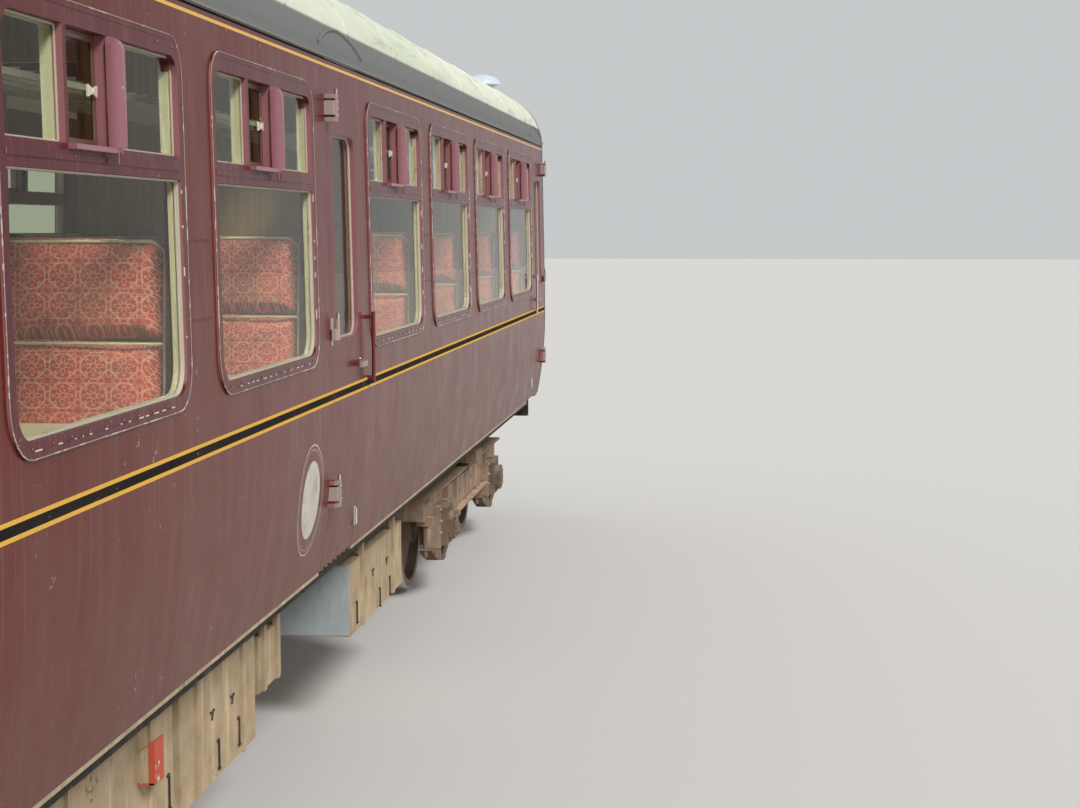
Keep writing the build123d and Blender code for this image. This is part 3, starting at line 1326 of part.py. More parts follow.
def brake_gear():
    """Clasp brakes: for each side of each axle a cross beam, two blocks and two hangers."""
    pieces = []
    inner_radius = TREAD_RADIUS + BRAKE_GAP
    outer_radius = inner_radius + BRAKE_BLOCK
    swing = math.radians(BRAKE_ANGLE)
    block_y = WHEEL_BACK + FLANGE_WIDTH + BRAKE_FROM_FLANGE
    beam_end = block_y + BRAKE_HANGER_WIDTH * 1.4
    tall = BRAKE_BEAM_HEIGHT / 2
    for end in ENDS.values():
        for facing in (1, -1):
            axle_x = end * BOGIE_WHEELBASE / 2
            points = []
            for radius in (inner_radius, outer_radius):
                points.append([(radius * math.cos(a), radius * math.sin(a)) for a in (-swing, 0, swing)])
            shoe = make_face([
                ThreePointArc(*points[0]),
                ThreePointArc(*points[1]),
                Line(points[0][0], points[1][0]),
                Line(points[0][2], points[1][2]),
            ])
            beam_x = BRAKE_REACH
            gear = block((outer_radius - BRAKE_BEAM / 4, beam_x), (-beam_end, beam_end), (-tall, tall))
            for side in SIDES.values():
                near = side * block_y
                gear += across_y(shoe, near, near + side * BRAKE_BLOCK_WIDTH)
                gear += side_block(
                    side,
                    (beam_x - BRAKE_HANGER, beam_x),
                    (beam_end - BRAKE_HANGER_WIDTH, beam_end),
                    (0, FRAME_TOP - CROSS_TUBE_DROP - WHEEL_HEIGHT),
                )
            if facing < 0:
                gear = mirror(gear, about=Plane.YZ)
            pieces.append(Pos(axle_x, 0, WHEEL_HEIGHT) * gear)
    return pieces


def wheelset():
    """Axle with two flanged wheels about its own centre, the axle along Y."""
    back = WHEEL_BACK
    face = WHEEL_BACK + WHEEL_WIDTH
    rim = TREAD_RADIUS - RIM_DEPTH
    web_in = back + WEB_INSET
    web_out = web_in + WEB_THICKNESS
    hub_in = back - HUB_INSET
    hub_out = hub_in + HUB_LENGTH
    half = (
        (0, 0),
        (AXLE_RADIUS, 0),
        (AXLE_RADIUS, hub_in),
        (HUB_RADIUS, hub_in),
        (HUB_RADIUS + WEB_FLARE, web_in),
        (rim - WEB_FLARE, web_in),
        (rim, back),
        (FLANGE_RADIUS - FLANGE_TIP, back),
        (FLANGE_RADIUS, back + FLANGE_TIP),
        (FLANGE_RADIUS - FLANGE_TIP, back + 3 * FLANGE_TIP),
        (TREAD_RADIUS + TREAD_FALL / 2, back + FLANGE_WIDTH + FLANGE_TIP),
        (TREAD_RADIUS - TREAD_FALL, face),
        (rim, face),
        (rim - WEB_FLARE, web_out),
        (HUB_RADIUS + WEB_FLARE, web_out),
        (HUB_RADIUS, hub_out),
        (JOURNAL_RADIUS, hub_out),
        (JOURNAL_RADIUS, JOURNAL_END),
        (0, JOURNAL_END),
    )
    turned = revolve(Plane.XY * outline(*half), Axis.Y)
    return turned + mirror(turned, about=Plane.XZ)


# Body nodes
for side_name, side in SIDES.items():
    save(f"side_{side_name}", side_wall(side))
    frames = [Pos(x, 0, 0) * bay_frame(side) for x in BAY_CENTRES]
    frames.append(Pos(LAVATORY_WINDOW_X, 0, 0) * lavatory_frame(side))
    save(f"window_frames_{side_name}", *frames)
    panes = []
    for x in BAY_CENTRES:
        panes.extend(Pos(x, 0, 0) * pane for pane in bay_glass(side))
    panes.extend(Pos(LAVATORY_WINDOW_X, 0, 0) * pane for pane in lavatory_glass(side))
    save(f"window_glass_{side_name}", *panes)
    save(f"air_deflectors_{side_name}", *[Pos(x, 0, 0) * bay_hood(side) for x in BAY_CENTRES])
    for door_name, centre, hinge_end in doors_on(side):
        save(f"door_{door_name}_{side_name}", door_panel(side, centre, hinge_end))
        save(f"door_glass_{door_name}_{side_name}", door_glass(side, centre))

save("roof", *roof())
save("floor", floor())
save("underframe", *underframe())
save("trussing", *[piece for side in SIDES.values() for piece in truss(side)])
save("grab_rails", *grab_rails())
for end_name, end in ENDS.items():
    save(f"end_{end_name}", end_wall(end))
    save(f"gangway_{end_name}", gangway(end))
    save(f"gangway_door_{end_name}", *gangway_door(end))
    save(f"buffers_{end_name}", *[buffer(end, side) for side in SIDES.values()])
    save(f"coupler_{end_name}", coupler(end))

vents = [ventilator(HALF_LENGTH - END_VENT_FROM_END, END_VENT_Y)]
for side in SIDES.values():
    vents.append(ventilator(LAVATORY_VENT_FROM_END - HALF_LENGTH, side * LAVATORY_VENT_Y))
for index, x in enumerate(sorted(BAY_CENTRES)):
    vents.append(ventilator(x, VENT_FROM_CENTRE if index % 2 else -VENT_FROM_CENTRE))
save("roof_ventilators", *vents)

# Equipment nodes
battery_high = SOLEBAR_LOW - BOX_TOP_DROP
box_low = SOLEBAR_LOW - BOX_DROP
save("battery_boxes", *[hung_box(-1, start, end, battery_high, box_low) for start, end in BATTERY_BOXES])
save(
    "equipment_boxes",
    hung_box(-1, *RIGHT_BOX, SOLEBAR_LOW - RIGHT_BOX_TOP_DROP, box_low),
    hung_box(1, *LEFT_BOX, SOLEBAR_LOW - BOX_TOP_DROP, SOLEBAR_LOW - LEFT_BOX_DROP),
    hung_box(
        -1,
        *SMALL_BOX,
        SOLEBAR_LOW - SMALL_BOX_TOP_DROP,
        SOLEBAR_LOW - SMALL_BOX_DROP,
        inner=SMALL_BOX_INNER_Y,
    ),
)
cylinders = []
for x in (-CYLINDER_X, CYLINDER_X):
    hanger = (x - CYLINDER_HANGER / 2, x + CYLINDER_HANGER / 2)
    cylinder = Pos(x, 0, SOLEBAR_LOW - CYLINDER_DROP) * Cylinder(CYLINDER_RADIUS, CYLINDER_HEIGHT)
    cylinder += block(hanger, (-GIRDER_Y, GIRDER_Y), (SOLEBAR_LOW, FLOOR_LOW - CROSS_DEPTH))
    cylinders.append(cylinder)
save("brake_cylinders", *cylinders)

# Inside nodes
save(
    "partitions",
    cross_wall(FRONT_SALOON_END, FRONT_SALOON_END + PARTITION),
    cross_wall(FRONT_SALOON_START - PARTITION, FRONT_SALOON_START),
    cross_wall(REAR_SALOON_START, REAR_SALOON_START + PARTITION),
    cross_wall(REAR_SALOON_END - PARTITION, REAR_SALOON_END),
)
lavatory = [cross_wall(LAVATORY_WALL_X, LAVATORY_WALL_X + PARTITION)]
for side in SIDES.values():
    inner_wall = side_block(
        side,
        (-SIDE_END + SEAT_GAP, LAVATORY_WALL_X),
        (LAVATORY_WALL_Y, LAVATORY_WALL_Y + PARTITION),
        (FLOOR_TOP, FLOOR_TOP + LAVATORY_WALL_HEIGHT),
    )
    lavatory.append(inner_wall)
save("lavatory_walls", *lavatory)

for side_name, side in SIDES.items():
    frames = []
    cushions = []
    for start, step in ((FRONT_SALOON_START, 1), (REAR_SALOON_START, -1)):
        for index in range(BAYS):
            near = start + step * BAY_PITCH * index
            far = near + step * BAY_PITCH
            for boundary, facing in ((near, step), (far, -step)):
                frames.extend(seat_frame(side, boundary, facing))
                cushions.extend(seat_cushions(side, boundary, facing))
    save(f"seat_frames_{side_name}", *frames)
    save(f"seat_cushions_{side_name}", *cushions)
save("tables", *[table(side, x) for side in SIDES.values() for x in BAY_CENTRES])
racks = []
for side in SIDES.values():
    racks.extend(rack(side, FRONT_SALOON_START, FRONT_SALOON_END))
    racks.extend(rack(side, REAR_SALOON_END, REAR_SALOON_START))
save("luggage_racks", *racks)

# Bogie nodes
frame_piece = bogie_frame()
suspension_pieces = suspension()
bolster_piece = bolster()
brake_pieces = brake_gear()
wheelset_piece = wheelset()
for end_name, end in ENDS.items():
    place = Pos(end * BOGIE_CENTRE, 0, 0)
    save(f"bogie_frame_{end_name}", place * frame_piece)
    save(f"bogie_springs_{end_name}", *[place * piece for piece in suspension_pieces])
    save(f"bogie_bolster_{end_name}", place * bolster_piece)
    save(f"bogie_brakes_{end_name}", *[place * piece for piece in brake_pieces])
    for axle_name, axle in (("outer", end), ("inner", -end)):
        x = end * BOGIE_CENTRE + axle * BOGIE_WHEELBASE / 2
        save(f"wheelset_{end_name}_{axle_name}", Pos(x, 0, WHEEL_HEIGHT) * wheelset_piece)
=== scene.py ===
"""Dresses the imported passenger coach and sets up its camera, light and floor."""

from __future__ import annotations

import logging
import math
import random
from dataclasses import dataclass
from enum import Enum
from functools import cached_property
from typing import Callable, Iterable, Sequence, Union

import bmesh
import bpy
from mathutils import Matrix, Vector


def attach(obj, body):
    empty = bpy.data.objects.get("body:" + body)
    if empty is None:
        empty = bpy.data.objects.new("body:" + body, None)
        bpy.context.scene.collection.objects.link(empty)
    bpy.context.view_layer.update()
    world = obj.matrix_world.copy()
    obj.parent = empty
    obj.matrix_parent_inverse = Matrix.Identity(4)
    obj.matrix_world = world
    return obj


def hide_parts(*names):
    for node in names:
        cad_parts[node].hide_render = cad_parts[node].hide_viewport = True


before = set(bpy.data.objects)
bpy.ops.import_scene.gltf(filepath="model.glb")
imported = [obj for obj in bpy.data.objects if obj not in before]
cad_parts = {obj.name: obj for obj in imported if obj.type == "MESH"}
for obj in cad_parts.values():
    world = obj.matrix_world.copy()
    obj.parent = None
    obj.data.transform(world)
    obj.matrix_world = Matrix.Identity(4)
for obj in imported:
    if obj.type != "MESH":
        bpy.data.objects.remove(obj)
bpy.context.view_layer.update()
log = logging.getLogger("coach")

Pair = tuple[float, float]
Point = tuple[float, float, float]
Colour = tuple[float, float, float]
Key = Union[str, int]
Value = Union[float, Sequence[float], "Tap"]

COACH = "coach_body"
RAIL = 0.0286
ORIGIN = (0.0, 0.0, 0.0)
OUTSIDES = (-1, 1)


class Slot(str, Enum):
    """Material slots of the record, named by the new pieces but not used by them."""

    MAROON = "maroon_paint"
    ROOF = "roof_paint"
    END = "end_paint"
    GRIME = "underframe_dirt"
    BOX = "box_paint"
    FRAME = "window_frame"
    LINING = "interior_lining"
    FABRIC = "seat_fabric"
    RACK = "rack_metal"
    GANGWAY = "gangway_fabric"
    BRIGHT = "bright_metal"


@dataclass(frozen=True)
class BodyShape:
    """Outside of the body, as the source draws it, in metres."""

    half_width: float = 1.3715
    waist_low: float = 1.74 + RAIL
    waist_high: float = 1.93 + RAIL
    bottom: float = 1.045 + RAIL
    tumble_in: float = 0.070
    cantrail: float = 3.228 + RAIL
    cantrail_in: float = 0.0265
    crown: float = 3.772 + RAIL
    shoulder_radius: float = 0.460
    half_length: float = 9.830
    end_bow: float = 0.080
    floor_top: float = 1.250 + RAIL
    wall: float = 0.065

    @property
    def lean(self) -> float:
        """How far the side panel leans in for each metre above the waist."""
        return self.cantrail_in / (self.cantrail - self.waist_high)

    def side_y(self, z: float, proud: float = 0.0) -> float:
        """Distance of the side panel from the centreline.

        Args:
            z: Height in the row frame.
            proud: Distance out from the panel.

        Returns:
            The distance in metres, always positive.
        """
        if z < self.waist_low:
            drop = self.waist_low - z
            full = self.waist_low - self.bottom
            radius = (full**2 + self.tumble_in**2) / (2 * self.tumble_in)
            return self.half_width - radius + math.sqrt(radius**2 - drop**2) + proud
        return self.half_width - max(0.0, z - self.waist_high) * self.lean + proud

    def roof_point(self, share: float, proud: float = 0.0) -> Pair:
        """Point on the roof line.

        Args:
            share: Place along the roof line, from -1 at the right cantrail to 1 at the left one.
            proud: Distance out from the roof.

        Returns:
            Its y and z.
        """
        corner = self.half_width - self.cantrail_in - self.shoulder_radius
        rise = self.crown - self.cantrail
        radius = (corner**2 + rise**2 - self.shoulder_radius**2) / (2 * (rise - self.shoulder_radius))
        centre = self.crown - radius
        swing = math.atan2(corner, self.cantrail - centre)
        crown_length = radius * swing
        shoulder_length = self.shoulder_radius * (math.pi / 2 - swing)
        along = abs(share) * (crown_length + shoulder_length)
        sign = 1.0 if share >= 0 else -1.0
        if along <= crown_length:
            angle = along / radius
            reach = radius + proud
            return sign * reach * math.sin(angle), centre + reach * math.cos(angle)
        angle = swing + (along - crown_length) / self.shoulder_radius
        reach = self.shoulder_radius + proud
        return sign * (corner + reach * math.sin(angle)), self.cantrail + reach * math.cos(angle)

    def end_x(self, y: float) -> float:
        """Distance of the bowed end from the middle of the coach at one y."""
        return self.half_length - self.end_bow * (y / self.half_width) ** 2


BODY = BodyShape()
BAY_PITCH = 1.880
SALOON_STARTS = ((1.305, 1), (0.485, -1))
BAYS = [start + way * BAY_PITCH * (i + 0.5) for start, way in SALOON_STARTS for i in range(4)]


class Side(Enum):
    """Long sides of the coach, each with the sign of its y."""

    LEFT = 1
    RIGHT = -1

    def lay(self, loop: Iterable[Pair], proud: float) -> list[Point]:
        """Lay (x, z) points on the side's panel, some distance out from it."""
        return [(x, self.value * BODY.side_y(z, proud), z) for x, z in loop]


class End(Enum):
    """Ends of the coach, each with the sign of its x."""

    FRONT = 1
    REAR = -1


@dataclass(frozen=True)
class Doorway:
    """One side doorway: where it is and which way its door is hung on each side."""

    name: str
    centre: float
    hinge_right: int
    hinge_left: int

    def hinge_end(self, side: Side) -> int:
        """Sign of the x direction of the hinge edge on a side."""
        return self.hinge_left if side is Side.LEFT else self.hinge_right

    def body(self, side: Side) -> str:
        """Name of the door's body on a side."""
        return f"door_{self.name}_{side.name.lower()}"


DOORWAYS = (Doorway("rear", -7.435, -1, -1), Doorway("centre", 0.945, -1, 1), Doorway("front", 9.195, 1, 1))
HINGE_FROM_CENTRE = 0.335
HINGE_HEIGHTS = (1.385 + RAIL, 2.075 + RAIL, 3.018 + RAIL)


def arithmetic(operation: str, turned: bool = False) -> Callable[[Tap, Value], Tap]:
    """Make the method that stands behind one arithmetic sign.

    Args:
        operation: Blender's name of the math node's operation.
        turned: Whether the other value comes first.

    Returns:
        The method.
    """

    def method(self: Tap, other: Value) -> Tap:
        """Result of the operation on this value and another one."""
        return self.writer.math(operation, *((other, self) if turned else (self, other)))

    return method


class Tap:
    """One output in a node tree, which stands in sums as a number does."""

    __add__, __radd__ = arithmetic("ADD"), arithmetic("ADD", True)
    __sub__, __rsub__ = arithmetic("SUBTRACT"), arithmetic("SUBTRACT", True)
    __mul__, __rmul__ = arithmetic("MULTIPLY"), arithmetic("MULTIPLY", True)
    __truediv__, __rtruediv__ = arithmetic("DIVIDE"), arithmetic("DIVIDE", True)
    __mod__ = arithmetic("MODULO")

    def __init__(self, writer: NodeWriter, socket: bpy.types.NodeSocket) -> None:
        """Keep the socket and the writer of its tree."""
        self.writer = writer
        self.socket = socket

    def __abs__(self) -> Tap:
        """The value without its sign."""
        return self.writer.math("ABSOLUTE", self)

    def clamp(self) -> Tap:
        """The same value, kept from 0 to 1 by the math node that it comes from."""
        self.socket.node.use_clamp = True
        return self

    def other(self, output: str) -> Tap:
        """Another output of the same node."""
        return Tap(self.writer, self.socket.node.outputs[output])


class NodeWriter:
    """Short calls that write nodes into one tree."""

    def __init__(self, tree: bpy.types.NodeTree) -> None:
        """Keep the tree that the nodes go into."""
        self.tree = tree

    def send(self, value: Value, socket: bpy.types.NodeSocket) -> None:
        """Link a value to a socket, or make it the socket's own constant."""
        if isinstance(value, Tap):
            self.tree.links.new(value.socket, socket)
        else:
            socket.default_value = value

    def get(self, output: Key, kind: str, inputs: dict[Key, Value] | None = None, **settings: object) -> Tap:
        """Add a node and take one of its outputs.

        Args:
            output: Name or number of the output.
            kind: Blender's name of the node type.
            inputs: Values by the input's name or number.
            **settings: Settings of the node itself.

        Returns:
            The output.
        """
        node = self.tree.nodes.new(kind)
        for name, value in settings.items():
            setattr(node, name, value)
        for name, value in (inputs or {}).items():
            self.send(value, node.inputs[name])
        return Tap(self, node.outputs[output])

    def math(self, operation: str, first: Value, second: Value = 0.0) -> Tap:
        """Result of a math node on two values."""
        return self.get(0, "ShaderNodeMath", {0: first, 1: second}, operation=operation)

    def vector(self, operation: str, first: Value, second: Value = ORIGIN, output: str = "Vector") -> Tap:
        """Result of a vector math node."""
        return self.get(output, "ShaderNodeVectorMath", {0: first, 1: second}, operation=operation)

    def join(self, x: Value = 0.0, y: Value = 0.0, z: Value = 0.0) -> Tap:
        """Vector of three values."""
        return self.get(0, "ShaderNodeCombineXYZ", {0: x, 1: y, 2: z})

    def separate(self, vector: Value) -> list[Tap]:
        """The three parts of a vector."""
        parts = self.get(0, "ShaderNodeSeparateXYZ", {0: vector})
        return [Tap(self, socket) for socket in parts.socket.node.outputs]

    def mix(self, factor: Value, first: Value, second: Value) -> Tap:
        """Colour mixed from two colours, which may be plain triples."""
        colours = [(*c, 1.0) if isinstance(c, tuple) else c for c in (first, second)]
        return self.get(2, "ShaderNodeMix", {0: factor, 6: colours[0], 7: colours[1]}, data_type="RGBA")

    def noise(self, place: Value, scale: Value, detail: float = 4.0, rough: float = 0.55) -> Tap:
        """Grey value of a noise texture."""
        inputs = {"Vector": place, "Scale": scale, "Detail": detail, "Roughness": rough}
        return self.get("Fac", "ShaderNodeTexNoise", inputs)

    def spread(self, value: Value, low: float, high: float) -> Tap:
        """Value stretched so that low becomes 0 and high becomes 1, smoothly and clamped."""
        inputs = {"Value": value, "From Min": low, "From Max": high}
        return self.get("Result", "ShaderNodeMapRange", inputs, interpolation_type="SMOOTHSTEP")

    def reach(self, place: Value, centre: Value) -> Tap:
        """Distance from a centre, as seen from the side."""
        flat = self.vector("MULTIPLY", self.vector("SUBTRACT", place, centre), (1.0, 0.0, 1.0))
        return self.vector("LENGTH", flat, output="Value")


class TreeBuilder(NodeWriter):
    """One node group with named inputs, each of the kind of its default value."""

    KINDS = {float: "Float", int: "Int", tuple: "Vector"}

    def __init__(self, name: str, tree: str, **inputs: object) -> None:
        """Make the group and its inputs.

        Args:
            name: Name of the group.
            tree: Blender's name of the tree type.
            **inputs: Each input's default value, or the name of its kind where it has none.
        """
        super().__init__(bpy.data.node_groups.new(name, tree))
        for label, default in inputs.items():
            kind = self.KINDS.get(type(default))
            socket_type = f"NodeSocket{kind or default}"
            socket = self.tree.interface.new_socket(label, in_out="INPUT", socket_type=socket_type)
            if kind:
                socket.default_value = default
        source = self.tree.nodes.new("NodeGroupInput")
        self.taps = [Tap(self, socket) for socket in source.outputs[: len(inputs)]]
        self.sink = self.tree.nodes.new("NodeGroupOutput")

    def give(self, kind: str = "Float", **outputs: Tap) -> bpy.types.NodeTree:
        """Send values to new outputs of the group and hand the group out."""
        for label, value in outputs.items():
            self.tree.interface.new_socket(label, in_out="OUTPUT", socket_type=f"NodeSocket{kind}")
            self.send(value, self.sink.inputs[label])
        return self.tree


def effect(name: str, **inputs: Value) -> TreeBuilder:
    """Begin a shader node group that reads a place and other values."""
    return TreeBuilder(name, "ShaderNodeTree", Place=ORIGIN, **inputs)


ALONG = (0.16, 1.0, 1.0)


class Effects:
    """Shader node groups that several finishes share, each made when first used."""

    @cached_property
    def dust(self) -> bpy.types.NodeTree:
        """Mask of dust that thickens downwards between two heights."""
        g = effect("settled_dust", Low=0.0, High=1.0, Grain=3.0)
        here, low, high, grain = g.taps
        fall = (high - g.separate(here)[2]) / (high - low)
        cloud = g.noise(here, grain, 6.0, 0.5) * 1.4 - 0.2
        return g.give(Mask=(fall.clamp() * cloud).clamp())

    @cached_property
    def chips(self) -> bpy.types.NodeTree:
        """Mask of small sharp-edged chips, more of them as Amount grows."""
        g = effect("paint_chips", Scale=20.0, Amount=0.3)
        here, scale, amount = g.taps
        both = g.noise(here, scale, 8.0, 0.5) * g.noise(here, scale * 0.13, 2.0, 0.5)
        return g.give(Mask=((both - (0.44 - amount * 0.3)) * 40.0).clamp())

    @cached_property
    def streaks(self) -> bpy.types.NodeTree:
        """Mask of thin stains that run downwards."""
        g = effect("rain_streaks", Scale=12.0, Length=0.06)
        here, scale, length = g.taps
        x, y, z = g.separate(here)
        return g.give(Mask=g.spread(g.noise(g.join(x, y, z * length), scale, 5.0, 0.5), 0.50, 0.78))

    @cached_property
    def ripple(self) -> bpy.types.NodeTree:
        """Height of sheet steel that buckles a little between its frames, with a fine orange peel."""
        g = effect("panel_ripple", Buckle=1.0, Peel=0.02)
        here, buckle, peel = g.taps
        x, _, z = g.separate(here)
        squeezed = g.join(x * 2.6, 0.0, z * 0.9)
        folds = g.noise(squeezed, 1.3, 2.0, 0.4) + g.noise(squeezed, 4.5, 1.0, 0.4) * 0.16
        return g.give(Height=folds * buckle + g.noise(here, 160.0, 1.0) * peel)

    @cached_property
    def weave(self) -> bpy.types.NodeTree:
        """Threads crossing in three directions: a height and a slight shade."""
        g = effect("thread_weave", Scale=900.0)
        here, scale = g.taps
        inputs = {"Vector": here, "Scale": scale, "Distortion": 0.6}
        wave = "ShaderNodeTexWave"
        x, y, z = (g.get("Fac", wave, inputs, wave_type="BANDS", bands_direction=way) for way in "XYZ")
        return g.give(Height=g.math("MAXIMUM", g.math("MAXIMUM", x, y), z), Shade=x * z)

    @cached_property
    def line(self) -> bpy.types.NodeTree:
        """Mask of a painted line at one height."""
        g = effect("painted_line", Height=0.0, Width=0.01)
        here, height, width = g.taps
        near = width * 0.5 - abs(g.separate(here)[2] - height)
        return g.give(Mask=(near * 2500.0).clamp())

    @cached_property
    def inside(self) -> bpy.types.NodeTree:
        """Mask of the faces that look towards the middle of the coach."""
        g = effect("looks_inwards", Normal=(0.0, 0.0, 1.0), Weights=(0.0, 1.0, 0.0), Shift=ORIGIN)
        here, normal, weights, shift = g.taps
        away = g.vector("NORMALIZE", g.vector("MULTIPLY", g.vector("ADD", here, shift), weights))
        dot = g.vector("DOT_PRODUCT", away, normal, "Value")
        return g.give(Mask=((-0.2 - dot) * 20.0).clamp())

    @cached_property
    def ring(self) -> bpy.types.NodeTree:
        """Mask of a painted ring about a point on a side."""
        g = effect("painted_ring", Centre=ORIGIN, Radius=0.2, Width=0.01)
        here, centre, radius, width = g.taps
        near = width * 0.5 - abs(g.reach(here, centre) - radius)
        return g.give(Mask=(near * 1500.0).clamp())

    @cached_property
    def rosettes(self) -> bpy.types.NodeTree:
        """Mask of petalled rings on two lattices, one in the gaps of the other, like woven damask."""
        g = effect("woven_rosettes", Pitch=0.09)
        here, pitch = g.taps
        bent = g.vector("ADD", here, g.join(g.noise(here, 45.0, 1.0) * 0.006))
        grid = g.vector("DIVIDE", bent, g.join(pitch, pitch, 1.0))
        drawn: Value = 0.0
        rings = (((0.43, 0.0), (0.25, 0.08), (0.11, -0.03)), ((0.33, 0.05), (0.17, -0.05)))
        for shift, lines in zip((ORIGIN, (0.5, 0.5, 0.0)), rings):
            cell = g.vector("FRACTION", g.vector("ADD", grid, shift))
            x, y, _ = g.separate(g.vector("SUBTRACT", cell, (0.5, 0.5, 0.0)))
            reach = g.math("SQRT", x * x + y * y)
            petals = g.math("COSINE", g.math("ARCTAN2", y, x) * 8.0)
            for radius, swing in lines:
                away = abs(reach - radius - petals * swing)
                drawn = g.math("MAXIMUM", drawn, (1.0 - away / 0.042).clamp())
        torn = g.spread(g.noise(here, 70.0, 2.0), 0.25, 0.50)
        return g.give(Mask=g.spread(drawn, 0.15, 0.55) * torn)

    @cached_property
    def proud(self) -> bpy.types.NodeTree:
        """How far a point stands out from the side panel, in metres."""
        g = effect("proud_of_side")
        _, y, z = g.separate(g.taps[0])
        panel = BODY.half_width - g.math("MAXIMUM", z - BODY.waist_high, 0.0) * BODY.lean
        return g.give(Mask=abs(y) - panel)

    @cached_property
    def cracks(self) -> bpy.types.NodeTree:
        """Mask of wandering cracks that run mostly lengthwise, as in old roof paint."""
        g = effect("paint_cracks", Scale=3.0, Width=0.03)
        here, scale, width = g.taps
        bend = g.vector("MULTIPLY", g.noise(here, 5.0, 5.0, 0.5).other("Color"), (0.16, 0.16, 0.16))
        inputs = {"Vector": g.vector("ADD", g.vector("MULTIPLY", here, ALONG), bend), "Scale": scale}
        cells = g.get("Distance", "ShaderNodeTexVoronoi", inputs, feature="DISTANCE_TO_EDGE")
        some = g.spread(g.noise(here, 1.7, 3.0), 0.42, 0.56)
        return g.give(Mask=(1.0 - cells / width).clamp() * some)


EFFECTS = Effects()


class PaintWriter(NodeWriter):
    """Writes one material's nodes about its surface shader."""

    def __init__(self, tree: bpy.types.NodeTree) -> None:
        """Find the surface and take the Object coordinates, which are the row frame's own for every piece."""
        super().__init__(tree)
        self.surface = tree.nodes["Principled BSDF"]
        self.here = self.get("Object", "ShaderNodeTexCoord")
        self.normal = self.here.other("Normal")

    def place(self, group: bpy.types.NodeTree, output: str = "Mask", **inputs: Value) -> Tap:
        """Put a shared effect in with its own values and take one of its outputs."""
        return self.get(output, "ShaderNodeGroup", {"Place": self.here} | inputs, node_tree=group)

    def grain(
        self, scale: float, detail: float = 4.0, rough: float = 0.55, stretch: Point | None = None
    ) -> Tap:
        """Noise on the piece, which may be stretched along its axes."""
        place = self.vector("MULTIPLY", self.here, stretch) if stretch else self.here
        return self.noise(place, scale, detail, rough)

    def feed(self, **values: Value) -> None:
        """Send values to the surface's inputs, an underscore standing for a space."""
        for label, value in values.items():
            self.send(value, self.surface.inputs[label.replace("_", " ")])

    def bump(self, height: Value, strength: float, depth: float) -> None:
        """Feed a height to the surface's normal."""
        inputs = {"Height": height, "Strength": strength, "Distance": depth}
        self.feed(Normal=self.get("Normal", "ShaderNodeBump", inputs))


def scaled(colour: Colour, factor: float) -> Colour:
    """Colour made darker or lighter."""
    return tuple(c * factor for c in colour)


class Finish:
    """Base of all finishes: makes its material once and hands it out."""

    name: str

    def material(self) -> bpy.types.Material:
        """The finish's material, made when it is first asked for."""
        known = bpy.data.materials.get(self.name)
        if known is not None:
            return known
        made = bpy.data.materials.new(self.name)
        made.use_nodes = True
        self.paint(PaintWriter(made.node_tree))
        return made

    def paint(self, w: PaintWriter) -> None:
        """Write the finish's nodes through the material's writer."""
        raise NotImplementedError


@dataclass(frozen=True)
class PaintedLine:
    """One painted line along the side: its height and width."""

    height: float
    width: float
    colour: Colour


